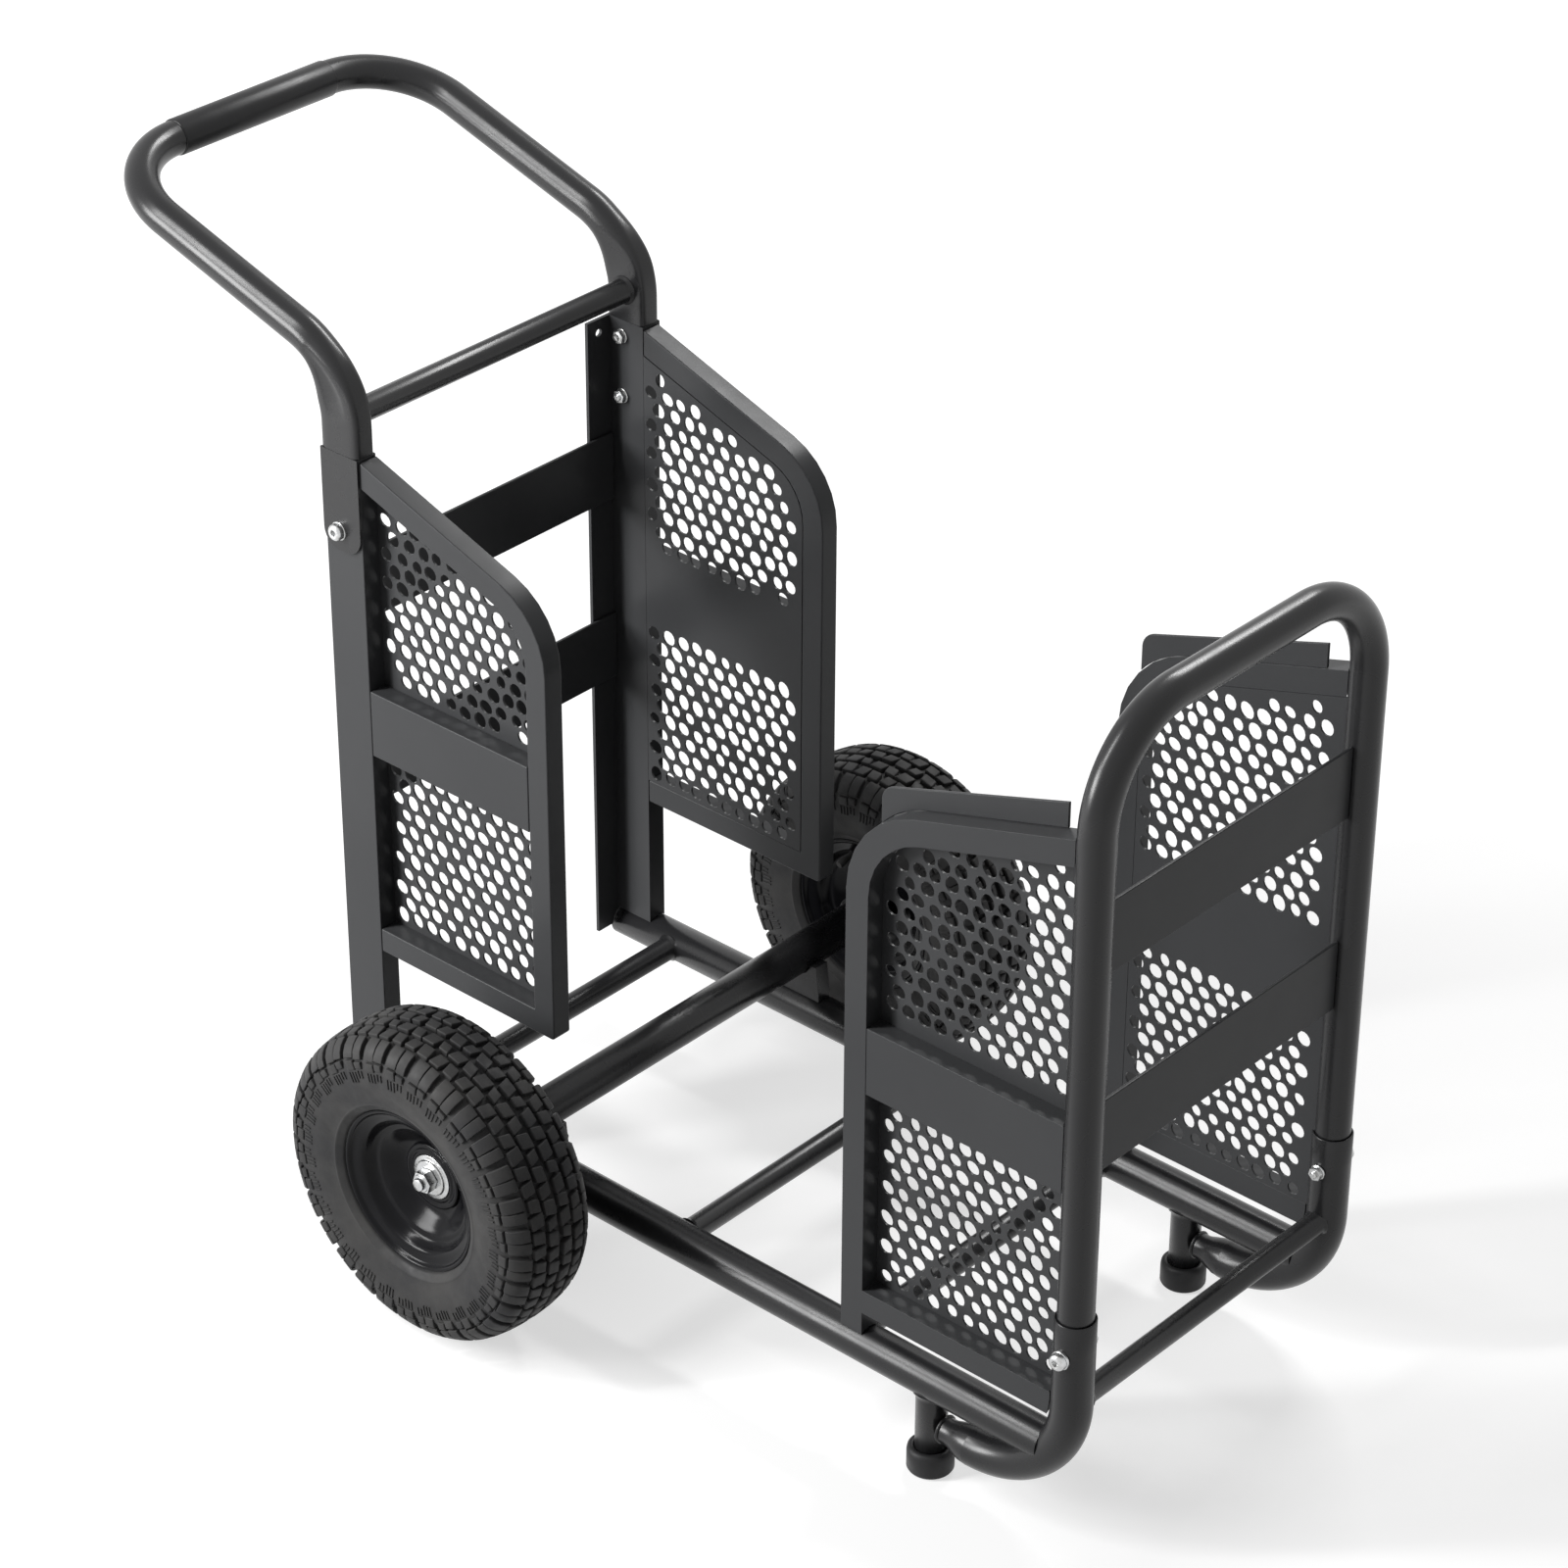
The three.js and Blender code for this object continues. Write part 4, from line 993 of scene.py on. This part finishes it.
@dataclass(frozen=True)
class SheetField:
    """The field of one perforated sheet inside its frame, in X and Z."""

    left: float
    right: float
    bottom: float
    top_at: Point
    slope: float
    rounded: int
    corner_radius: float
    band: Point
    hole_limit: float
    bar: float = 21.0
    play: float = 0.3
    fillet_steps: int = 8

    def top(self, x: float) -> float:
        """Height of the sheet's upper edge at a place along the cart."""
        slope = math.radians(self.slope)
        line = self.top_at[1] + (x - self.top_at[0]) * math.tan(slope)
        return line - self.bar / math.cos(slope) - self.play

    def outline(self) -> list[Point]:
        """Draws the sheet with its upper outer corner rounded.

        Returns:
            Its corners, anticlockwise.
        """
        low = self.bottom + self.bar + self.play
        corners = [(self.left, low), (self.right, low), (self.right, self.top(self.right)),
                   (self.left, self.top(self.left))]
        k = self.rounded
        here = Vector(corners[k])
        back = (Vector(corners[k - 1]) - here).normalized()
        ahead = (Vector(corners[(k + 1) % 4]) - here).normalized()
        opening = back.angle(ahead)
        centre = here + (back + ahead).normalized() * self.corner_radius / math.sin(opening / 2)
        start = here + back * self.corner_radius / math.tan(opening / 2) - centre
        turn = math.copysign(math.pi - opening, back.y * ahead.x - back.x * ahead.y)
        fillet = []
        for step in range(self.fillet_steps + 1):
            angle = turn * step / self.fillet_steps
            cos, sin = math.cos(angle), math.sin(angle)
            fillet.append((centre.x + start.x * cos - start.y * sin,
                           centre.y + start.x * sin + start.y * cos))
        return corners[:k] + fillet + corners[k + 1:]


@dataclass
class Perforation:
    """A field of pebble-shaped holes in staggered rows, uneven in size, shape and place."""

    pitch: float = 15.8
    radius: float = 6.9
    smallest: float = 0.72
    largest: float = 1.1
    web: float = 1.7
    margin: float = 2.2
    sides: int = 14
    seed: int = 5
    stray: float = 1.3
    longest: float = 1.22
    tilt: float = -55.0
    tilt_stray: float = 35.0
    off_band: float = 2.0

    def holes(self, outline: Sequence[Point], band: Point, limit: float) -> list[Matrix]:
        """Places the holes in the plane of the sheet.

        Args:
            outline: corners of the sheet in X and Z, anticlockwise.
            band: lowest and highest Z of the solid band behind the mid plate.
            limit: X that no hole passes.

        Returns:
            What turns a unit circle in X and Y into each hole, with Z of the sheet as its Y.
        """
        chance = random.Random(self.seed)
        xs, zs = [x for x, _ in outline], [z for _, z in outline]
        spots: list[Point] = []
        row, z = 0, min(zs) + self.radius + self.margin
        while z < max(zs):
            x = min(xs) + self.radius + self.margin + (row % 2) * self.pitch / 2
            while x < max(xs):
                spots.append((x + chance.uniform(-self.stray, self.stray),
                              z + chance.uniform(-self.stray, self.stray)))
                x += self.pitch
            z += self.pitch * math.sin(math.pi / 3)
            row += 1
        holes = []
        for x, z in spots:
            near = min(math.dist((x, z), other) for other in spots if other != (x, z))
            radius = min(self.radius * chance.uniform(self.smallest, self.largest),
                         near / 2 - self.web / 2)
            stretch = math.sqrt(chance.uniform(1.0, self.longest))
            tilt = math.radians(self.tilt + chance.uniform(-self.tilt_stray, self.tilt_stray))
            room = edge_room(outline, x, z) - self.margin
            free = (z + radius < band[0] - self.off_band
                    or z - radius > band[1] + self.off_band)
            if free and x + radius < limit and room > self.smallest * radius:
                size = min(radius, room)
                oval = Matrix.Diagonal((size * stretch, size / stretch, 1.0, 1.0))
                place = Matrix.Translation((x, z, 0.0))
                holes.append(place @ Matrix.Rotation(tilt, 4, "Z") @ oval)
        return holes


def edge_room(outline: Sequence[Point], x: float, z: float) -> float:
    """Measures from a point to the nearest edge of an outline."""
    return min(((x1 - x0) * (z - z0) - (z1 - z0) * (x - x0)) / math.hypot(x1 - x0, z1 - z0)
               for (x0, z0), (x1, z1) in zip(outline, [*outline[1:], outline[0]]))


@dataclass
class SideFrames:
    """The posts, the rear and front side frames with plates and sheets, and the rear straps."""

    bench: Bench
    perforation: Perforation = field(default_factory=Perforation)
    sheet: float = 1.8
    rear: SheetField = SheetField(-164.7, 6.2, 218.0, (-165.0, 657.0), -19.0, 2, 47.0,
                                  (400.0, 458.0), 27.5)
    front: SheetField = SheetField(347.3, 533.0, 117.0, (HOOP_X, 615.0), 16.7, 3, 64.0,
                                   (317.0, 375.0), 525.5)
    eased: tuple[tuple[str, float], ...] = (
        ("rear_post", 1.1), ("rear_wing_frame", 1.2), ("front_wing_frame", 1.2),
        ("rear_wing_mid_plate", 1.0), ("front_wing_mid_plate", 1.0), ("front_wing_lip", 0.7))
    strap_edge: float = 0.8

    def punch(self, side: Side, end: End, sheet_field: SheetField) -> None:
        """Punches one perforated sheet.

        Args:
            side: which side of the cart.
            end: which end of the cart.
            sheet_field: the field that it fills.
        """
        blank = Blank()
        bm = blank.bm
        outline = sheet_field.outline()
        corners = [bm.verts.new((x, INNER_FACE, z)) for x, z in outline]
        for pair in zip(corners, [*corners[1:], corners[0]]):
            bm.edges.new(pair)
        standing = Matrix.Translation((0, INNER_FACE, 0)) @ Matrix.Rotation(math.pi / 2, 4, "X")
        for hole in self.perforation.holes(outline, sheet_field.band, sheet_field.hole_limit):
            bmesh.ops.create_circle(bm, cap_ends=False, segments=self.perforation.sides,
                                    radius=1.0, matrix=standing @ hole)
        bmesh.ops.triangle_fill(bm, use_beauty=True, use_dissolve=False, edges=bm.edges[:])
        made = bmesh.ops.extrude_face_region(bm, geom=bm.faces[:], use_keep_orig=True)
        bmesh.ops.translate(bm, vec=(0, self.sheet, 0), verts=only(BMVert, made["geom"]))
        self.bench.lay(blank, f"{end.value}_perforated_sheet_{side.word}",
                       [f"{end.value}_panel_{side.word}"], CHARCOAL, side,
                       surface=Surface.MACHINED)

    def build(self) -> None:
        """Builds every piece of the sides."""
        for side in Side:
            for node, edge in self.eased:
                self.bench.ease_node(f"{node}_{side.word}", CHARCOAL, edge)
            self.punch(side, End.REAR, self.rear)
            self.punch(side, End.FRONT, self.front)
        for strap in ("rear_strap_upper", "rear_strap_lower"):
            self.bench.ease_node(strap, CHARCOAL, self.strap_edge)


@dataclass
class Bolts:
    """The plated bolts with their round heads, hexagons and washers."""

    bench: Bench
    shank: float = 3.0
    across: float = 10.0
    head: float = 4.0
    hexagon_turn: float = 0.3
    hexagon_edge: float = 0.45
    thread_end: Profile = ((0.0, 0.0), (0.0, 1.6), (-0.6, 2.2))
    dished_crown: Profile = ((-0.5, 0.0), (-1.0, 0.35), (-2.1, 0.5), (-2.9, 0.3))
    washer_radius: float = 6.25
    washer: float = 1.2
    seat_radius: float = 7.65
    seat_height: float = 1.9
    seat_sunk: float = 0.4
    gap: float = 0.3
    button_radius: float = 6.9
    button_height: float = 5.6
    button_dome: Profile = ((-2.6, 0.0), (-1.2, -0.6), (-0.3, -1.7), (0.0, -3.0))
    recess: float = 2.9
    recess_depth: float = 2.8
    post_x: float = -188.0

    def hexagon_head(self, blank: Blank, seat: Point3, tip: float) -> None:
        """Adds a hexagon on the inner side, with a thread end or a dished crown.

        Args:
            blank: where it goes.
            seat: middle of its seat.
            tip: radius of the thread end that stands out of it, or 0.
        """
        x, y, z = seat
        outline = hexagon(self.across, self.hexagon_turn, seat)
        blank.prism(outline, (0, -self.head, 0), self.hexagon_edge, 2)
        crown = y - self.head
        steps = self.thread_end if tip > 0 else self.dished_crown
        profile = [(0, 0), *stepped(tip or self.across / 2, steps), (0, steps[-1][1])]
        if tip > 0:
            blank.turned(profile, (x, crown, z), INWARD, 20)
        else:
            blank.turned(profile, (x, crown + 0.05, z), INWARD, 28)

    def disc(self, blank: Blank, seat: Point3, axis: Point3, thick: float, radius: float) -> None:
        """Adds a washer."""
        blank.turned([(0, 0), (radius, 0), (radius, thick - 0.35), (radius - 0.35, thick),
                      (0, thick)], seat, axis, 36)

    def button(self, blank: Blank, seat: Point3) -> None:
        """Adds a round head with a hexagon recess, on the outer side.

        Args:
            blank: where it goes.
            seat: middle of its seat.
        """
        r, h, socket = self.button_radius, self.button_height, self.recess
        floor = h - self.recess_depth
        dome = [(r + out, h + up) for out, up in self.button_dome]
        before = set(blank.bm.verts)
        blank.turned([(0, floor), (socket, floor), (socket, h - 0.3), (socket + 0.4, h), *dome,
                      (r, 0.3), (r - 0.3, 0), (0, 0)], seat, steps=36)
        for vert in blank.bm.verts:
            arm = Vector((vert.co.x - seat[0], vert.co.z - seat[2]))
            if vert not in before and 0.1 < arm.length < socket + 0.2:
                sector = math.atan2(arm.y, arm.x) % (math.pi / 3) - math.pi / 6
                arm *= math.cos(math.pi / 6) / math.cos(sector)
                vert.co.x, vert.co.z = seat[0] + arm.x, seat[2] + arm.y

    def bolt(self, side: Side, node: str, x: float, z: float, inner: float,
             outer: float = 0.0) -> None:
        """Makes a bolt with a hexagon on the inner face and, if it goes through, a round head.

        Args:
            side: which side of the cart.
            node: the CAD node that it stands for, without its side.
            x: axis.
            z: axis.
            inner: |Y| of the face under the hexagon.
            outer: |Y| of the face under the round head, or 0.
        """
        blank = Blank()
        if outer:
            self.disc(blank, (x, outer - self.seat_sunk, z), LEFTWARD, self.seat_height,
                      self.seat_radius)
            self.button(blank, (x, outer + self.gap + self.washer, z))
        face = inner - self.gap
        self.disc(blank, (x, face, z), INWARD, self.washer, self.washer_radius)
        self.hexagon_head(blank, (x, face - self.washer, z), self.shank - 0.2 if outer else 0)
        if outer:
            length = outer - inner
            blank.turned([(0, 0), (self.shank, 0), (self.shank, length), (0, length)],
                         (x, inner, z), steps=20)
        name = f"{node}_{side.word}"
        self.bench.lay(blank, f"{name}_set", [name], ZINC, side, surface=Surface.MACHINED)

    def build(self) -> None:
        """Makes every bolt."""
        for side in Side:
            self.bolt(side, "handle_bolt_lower", self.post_x, 592, INNER_FACE, 167.3)
            self.bolt(side, "handle_bolt_upper", self.post_x, 645, INNER_FACE)
            self.bolt(side, "socket_bolt", HOOP_X, 179, 140.1, 171.9)


@dataclass
class Wheel:
    """One wheel: tyre with its tread, pressed rim, hub, valve and the axle end in front.

    The sidewall, the rim's face and its seat step out from the rim's radius.
    """

    bench: Bench
    side: Side
    plane: float = 268.0
    rim_radius: float = 68.8
    tread_root: float = 129.0
    sidewall: Profile = (
        (-14.8, 18.5), (-10.3, 24.0), (-2.6, 28.2), (0.5, 30.6), (1.2, 33.8), (2.2, 35.6),
        (6.0, 37.6), (6.7, 38.5), (8.0, 38.7), (9.0, 38.3), (14.0, 39.6), (22.0, 41.2),
        (30.0, 42.0), (36.0, 42.0), (42.0, 41.1), (48.0, 38.8), (53.0, 35.4), (56.5, 31.2),
        (58.6, 26.0))
    crown: Profile = ((-0.8, 18.0), (-0.2, 9.0), (0.0, 0.0))
    air_chamber: Profile = ((54.0, 14.0), (60.0, 25.0), (72.0, 35.0), (92.0, 37.0),
                            (108.0, 30.0), (114.0, 14.0), (116.0, 0.0))
    lugs: int = 30
    lug_top: float = 133.9
    lug_edge: float = 0.9
    shoulder_skin: Profile = ((130.9, 28.4), (129.4, 31.8), (126.4, 36.2), (121.8, 40.0))
    shoulder_root: Profile = ((119.5, 35.5), (123.5, 30.0), (124.8, 28.4))
    lug_fall: float = 3.4
    fall_reach: float = 30.0
    fall_power: float = 2.4
    shoulder_foot: Point = (42.1, 38.8)
    rib_skin: Point = (38.6, 42.9)
    long_lug: float = -0.2
    short_lug: float = 0.215
    rim_face: Profile = (
        (-1.2, 31.4), (0.1, 31.8), (0.5, 32.8), (0.2, 33.8), (-0.9, 34.0), (-2.0, 33.6),
        (-2.9, 32.4), (-3.6, 31.0), (-5.0, 30.3), (-8.0, 29.3), (-11.2, 28.0), (-12.6, 27.0),
        (-13.6, 25.2), (-15.6, 21.6), (-17.4, 19.2), (-19.4, 18.2), (-21.4, 18.4),
        (-23.0, 17.6), (-27.0, 14.6), (-31.5, 10.2), (-36.0, 6.8), (-39.5, 5.6), (-40.4, 5.4),
        (-49.4, 5.2))
    rim_seat: Profile = ((-2.6, 29.4), (-12.4, 24.0), (-18.2, 15.8), (-20.0, 0.0))
    hub_inner: float = -42.7
    hub_cover: Profile = (
        (19.0, 5.6), (27.6, 5.6), (28.5, 6.2), (28.5, 7.0), (27.8, 7.7), (26.2, 7.9),
        (24.6, 7.6), (23.8, 6.9), (22.8, 6.8), (22.0, 7.4), (20.8, 7.7), (19.4, 7.3),
        (18.6, 6.2), (8.4, 6.2))
    stem: Profile = ((0, 0), (3.4, 0), (3.4, 3), (2.8, 4.5), (2.8, 13), (3.5, 13.4),
                     (3.5, 19.5), (3.0, 20.4), (0, 20.4))
    stem_foot: Point3 = (-21.0, 248.0, 182.0)
    stem_heading: Point3 = (-0.05, -0.92, -0.25)
    washers: Profile = ((7.6, 0), (18.6, 0), (19.0, 0.4), (19.0, 1.4), (18.6, 1.8), (15.6, 1.9),
                        (15.2, 2.4), (14.8, 3.6), (14.2, 4.1), (7.6, 4.1))
    washer_seat: float = 274.3
    nut_seat: float = 278.6
    nut_across: float = 17.0
    nut_height: float = 8.4
    nut_turn: float = 0.2
    nut_crown: Profile = ((0, 0), (7.6, 0), (7.0, 0.7), (0, 0.7))

    @property
    def body(self) -> str:
        """The body that the wheel rides on."""
        return f"wheel_{self.side.word}"

    @property
    def centre(self) -> Point3:
        """The wheel's centre on the left side of the cart."""
        return (0.0, self.plane, AXLE_HEIGHT)

    def lay(self, blank: Blank, name: str, nodes: Sequence[str], finish: Finish,
            body: str = "cart", surface: Surface = Surface.ROUND) -> None:
        """Lays out a piece of the wheel.

        Args:
            blank: the shaped mesh, on the left side.
            name: the piece's name, without its side.
            nodes: CAD nodes that it stands for, without their side.
            finish: its finish.
            body: the body that it rides on.
            surface: how its faces are shaded.
        """
        word = self.side.word
        sided = [f"{node}_{word}" for node in nodes]
        self.bench.lay(blank, f"{name}_{word}", sided, finish, self.side, body, surface)

    def carcass(self, blank: Blank) -> None:
        """Turns the tyre's body, from bead to bead.

        Args:
            blank: where it goes.
        """
        outside = stepped(self.rim_radius, self.sidewall) + stepped(self.tread_root, self.crown)
        ring = mirrored(outside) + mirrored(self.air_chamber)[::-1]
        blank.turned(ring, self.centre, steps=120)

    def set_round(self, blank: Blank, verts: list[BMVert], turn: float) -> list[BMVert]:
        """Sets a block that was shaped over the origin at its place round the tyre.

        Args:
            blank: where it is.
            verts: its vertices.
            turn: place round the tyre, in degrees.

        Returns:
            Its vertices.
        """
        bmesh.ops.translate(blank.bm, vec=self.centre, verts=verts)
        blank.rotate(verts, self.centre, math.radians(turn))
        return verts

    def lug(self, blank: Blank, across: Point, around: float, turn: float, sink: float,
            skew: float) -> list[BMVert]:
        """Adds one tread block.

        Args:
            blank: where it goes.
            across: from and to, across the tread.
            around: length round the tyre.
            turn: place round the tyre, in degrees.
            sink: depth of its foot under the top.
            skew: how far one end leads the other.

        Returns:
            The block's vertices.
        """
        verts = blank.block((-around / 2, across[0], self.lug_top - sink),
                            (around / 2, across[1], self.lug_top), self.lug_edge)
        middle, span = (across[0] + across[1]) / 2, across[1] - across[0]
        for vert in verts:
            vert.co.x += skew * (vert.co.y - middle) / span
            vert.co.z -= self.lug_fall * (abs(vert.co.y) / self.fall_reach) ** self.fall_power
        return self.set_round(blank, verts, turn)

    def shoulder(self, blank: Blank, turn: float, around: float, foot: float) -> list[BMVert]:
        """Adds one shoulder lug, which wraps from the tread to the sidewall.

        Args:
            blank: where it goes.
            turn: place round the tyre, in degrees.
            around: length round the tyre.
            foot: radius at which it ends on the sidewall.

        Returns:
            The lug's vertices.
        """
        outer, inner = self.shoulder_foot
        ring = (*self.shoulder_skin, (foot, outer), (foot - 0.8, inner), *self.shoulder_root)
        outline = [(-around / 2, y, r) for r, y in ring]
        return self.set_round(blank, blank.prism(outline, (around, 0, 0), 0.8, 1, 50.0), turn)

    def rib(self, blank: Blank, turn: float, low: float, high: float,
            wide: float = 1.3) -> list[BMVert]:
        """Adds one fine rib or small pad on the sidewall under a lug."""
        inner, outer = self.rib_skin
        verts = blank.block((-wide / 2, inner, low), (wide / 2, outer, high), 0.2 + wide / 16)
        return self.set_round(blank, verts, turn)

    def tread_half(self) -> Blank:
        """Shapes the tread of one half of the tyre, in pairs of groups that differ a little.

        Returns:
            The tread, on the outer half.
        """
        blank = Blank()
        pitch = 360.0 / self.lugs
        pair: list[BMVert] = []
        for start, shift in ((0.0, 0.0), (pitch, 1.2)):
            long, short = start + self.long_lug * pitch, start + self.short_lug * pitch
            pair += self.shoulder(blank, long, 11.2, 117.4 - shift)
            pair += self.shoulder(blank, short, 9.2 + 0.5 * shift, 116.0 + shift)
            pair += self.rib(blank, long, 107.2, 115.4 - shift, 9.6)
            pair += self.rib(blank, short, 108.4 + shift, 114.2 + shift, 7.6)
            for across, around, place, sink, skew in (
                    ((14.6 + shift, 26.2), 11.6 - shift, 0.5, 7.0, 1.8),
                    ((15.4, 25.0 + shift), 10.8, 0.03, 7.0, -2.2),
                    ((1.3 + shift, 12.0), 12.6, 0.28, 6.5, -2.4),
                    ((2.6, 11.4 + shift), 9.4 + shift, 0.77, 6.5, 2.6)):
                pair += self.lug(blank, across, around, start + place * pitch, sink, skew)
            for k in (-1, 0, 1):
                pair += self.rib(blank, long + k * 1.9, 97.0 + shift, 105.8)
            for k in (-0.5, 0.5):
                pair += self.rib(blank, short + k * 2.1, 100.5, 106.8)
        blank.array_round(pair, self.centre, self.lugs // 2)
        return blank

    def tyre(self) -> None:
        """Builds the tyre with its tread, whose inner half runs half a pitch ahead."""
        blank = Blank()
        self.carcass(blank)
        half = self.tread_half()
        for part in (blank, half):
            bmesh.ops.recalc_face_normals(part.bm, faces=part.bm.faces[:])
        blank.take(half)
        half.shift_y(-self.plane)
        half.mirror_y()
        half.shift_y(self.plane)
        half.rotate(half.bm.verts[:], self.centre, math.pi / self.lugs)
        blank.take(half)
        half.bm.free()
        self.lay(blank, "tyre_tread", ["tyre"], RUBBER, self.body, Surface.MOULDED)

    def rim(self) -> None:
        """Turns the pressed rim with its rolled flange and dished disc."""
        face = mirrored(stepped(self.rim_radius, self.rim_face))
        seat = mirrored(stepped(self.rim_radius, self.rim_seat))
        blank = Blank()
        blank.turned(face + seat[::-1], self.centre, steps=112)
        self.lay(blank, "pressed_rim", ["rim"], ENAMEL, self.body)

    def hub(self) -> None:
        """Turns the hub with its stepped boss and bearing cover."""
        inner = self.hub_inner
        blank = Blank()
        blank.turned([(8.4, inner), (18.2, inner), (19.0, inner + 0.8), *self.hub_cover],
                     self.centre, steps=72)
        self.lay(blank, "bearing_hub", ["wheel_hub"], ENAMEL, self.body)

    def valve(self) -> None:
        """Turns the valve stem that stands in the rim's well on the wheel's inner side."""
        blank = Blank()
        blank.turned(self.stem, self.stem_foot, Vector(self.stem_heading).normalized(), 24)
        self.lay(blank, "valve_stem", [], RUBBER, self.body)

    def axle_end(self) -> None:
        """Makes the washers and the crowned nut at the end of the axle."""
        washer = Blank()
        washer.turned(self.washers, (0, self.washer_seat, AXLE_HEIGHT), steps=56)
        self.lay(washer, "axle_washers", ["axle_washer"], ZINC, surface=Surface.MOULDED)
        nut = Blank()
        outline = hexagon(self.nut_across, self.nut_turn, (0, self.nut_seat, AXLE_HEIGHT))
        nut.prism(outline, (0, self.nut_height, 0), 0.8, 2)
        crown = self.nut_seat + self.nut_height - 0.1
        nut.turned(self.nut_crown, (0, crown, AXLE_HEIGHT), steps=36)
        self.lay(nut, "axle_nut_crown", ["axle_nut"], ZINC, surface=Surface.MACHINED)

    def build(self) -> None:
        """Builds every piece of the wheel."""
        self.tyre()
        self.rim()
        self.hub()
        self.valve()
        self.axle_end()


# ---------------------------------------------------------------------------
# Studio
# ---------------------------------------------------------------------------


@dataclass(frozen=True)
class Lamp:
    """One soft box: where it stands, what it looks at, its size and its power."""

    name: str
    at: Point3
    towards: Point3
    size: Point
    watts: float

    def hang(self, collection: Collection) -> None:
        """Hangs the soft box.

        Args:
            collection: where it goes.
        """
        light = bpy.data.lights.new(self.name, "AREA")
        light.shape = "RECTANGLE"
        light.size, light.size_y = self.size
        light.energy = self.watts
        holder = bpy.data.objects.new(self.name, light)
        holder.location = self.at
        aim = Vector(self.towards) - Vector(self.at)
        holder.rotation_euler = aim.to_track_quat("-Z", "Y").to_euler()
        collection.objects.link(holder)


@dataclass
class Studio:
    """The pale floor, the white surround, the soft boxes and the camera."""

    collection: Collection
    camera_at: Point3 = (2.1427, -2.3205, 2.2898)
    camera_to: Point3 = (0.0734, 0.0, 0.4157)
    roll: float = 0.254
    lens: float = 108.385
    sensor: float = 36.0
    far_clip: float = 50.0
    surround: float = 0.14
    floor_half: float = 6.0
    floor_level: float = -0.0004
    floor_tone: float = 0.5
    floor_roughness: float = 0.9
    glow_reach: Point = (0.9, 2.4)
    glow: Point = (0.62, 0.97)
    lamps: tuple[Lamp, ...] = (
        Lamp("key_box", (-1.7, -2.3, 1.2), (0.0, 0.0, 0.35), (1.2, 1.0), 88.0),
        Lamp("strip_box", (-1.2, -1.75, 2.4), (0.0, 0.0, 0.4), (0.18, 1.3), 40.0),
        Lamp("back_strip", (-0.25, 1.7, 2.4), (0.3, 0.0, 0.5), (1.1, 0.2), 34.0),
    )

    def floor(self) -> None:
        """Lays the pale floor, which shows white and keeps the cart's shadow."""
        bm = bmesh.new()
        bmesh.ops.create_grid(bm, x_segments=1, y_segments=1, size=self.floor_half,
                              matrix=Matrix.Translation((0, 0, self.floor_level)))
        mesh = bpy.data.meshes.new("floor")
        bm.to_mesh(mesh)
        bm.free()
        material = bpy.data.materials.new("floor_paper")
        material.use_nodes = True
        tree = material.node_tree
        bench = NodeBench(tree)
        paper = tree.nodes["Principled BSDF"]
        bench.fill(paper, {"Base Color": (*(self.floor_tone,) * 3, 1.0),
                           "Roughness": self.floor_roughness, "Specular IOR Level": 0.0})
        place = bench.add("TexCoord", {}, "Object")
        away = bench.add("VectorMath", {0: place}, "Value", operation="LENGTH")
        fade = bench.spread(away, self.glow_reach, self.glow)
        strength = bench.add("Math", {0: fade, 1: bench.seen_directly()}, "Value",
                             operation="MULTIPLY")
        glow = bench.add("Emission", {"Strength": strength}, "Emission")
        both = bench.add("AddShader", {0: paper.outputs["BSDF"], 1: glow}, "Shader")
        bench.fill(tree.nodes["Material Output"], {"Surface": both})
        mesh.materials.append(material)
        piece = bpy.data.objects.new("floor", mesh)
        self.collection.objects.link(piece)

    def sky(self) -> None:
        """Sets the white surround and its plain light."""
        world = bpy.data.worlds.new("white_surround")
        bpy.context.scene.world = world
        world.use_nodes = True
        bench = NodeBench(world.node_tree)
        level = bench.spread(bench.seen_directly(), (0.0, 1.0), (self.surround, 1.0))
        bench.fill(world.node_tree.nodes["Background"],
                   {"Color": (1.0, 1.0, 1.0, 1.0), "Strength": level})

    def camera(self) -> None:
        """Stands the camera at the photograph's viewing angle."""
        data = bpy.data.cameras.new("studio_camera")
        data.lens = self.lens
        data.sensor_width = self.sensor
        data.clip_end = self.far_clip
        holder = bpy.data.objects.new("studio_camera", data)
        aim = (Vector(self.camera_to) - Vector(self.camera_at)).to_track_quat("-Z", "Y").to_matrix()
        tilt = Matrix.Rotation(math.radians(self.roll), 3, "Z")
        holder.matrix_world = Matrix.Translation(self.camera_at) @ (aim @ tilt).to_4x4()
        self.collection.objects.link(holder)
        bpy.context.scene.camera = holder

    def build(self) -> None:
        """Sets up the studio."""
        self.camera()
        self.floor()
        self.sky()
        for lamp in self.lamps:
            lamp.hang(self.collection)
        bpy.context.scene.view_settings.view_transform = "Standard"


def main() -> None:
    """Builds the cart and its studio, laid out from the axle tube's box."""
    logging.basicConfig(level=logging.INFO, format="%(name)s: %(message)s")
    collection = bpy.context.scene.collection
    low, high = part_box("axle_tube")
    bench = Bench((low.x + high.x) / 2, collection)
    under = Undercarriage(bench)
    Studio(collection).build()
    PushHandle(bench).build()
    FrontHoop(bench).build()
    under.build()
    SideFrames(bench).build()
    Bolts(bench).build()
    under.axle_rod()
    for side in Side:
        FrontFoot(bench, side).build()
        Wheel(bench, side).build()


if __name__ == "__main__":
    main()
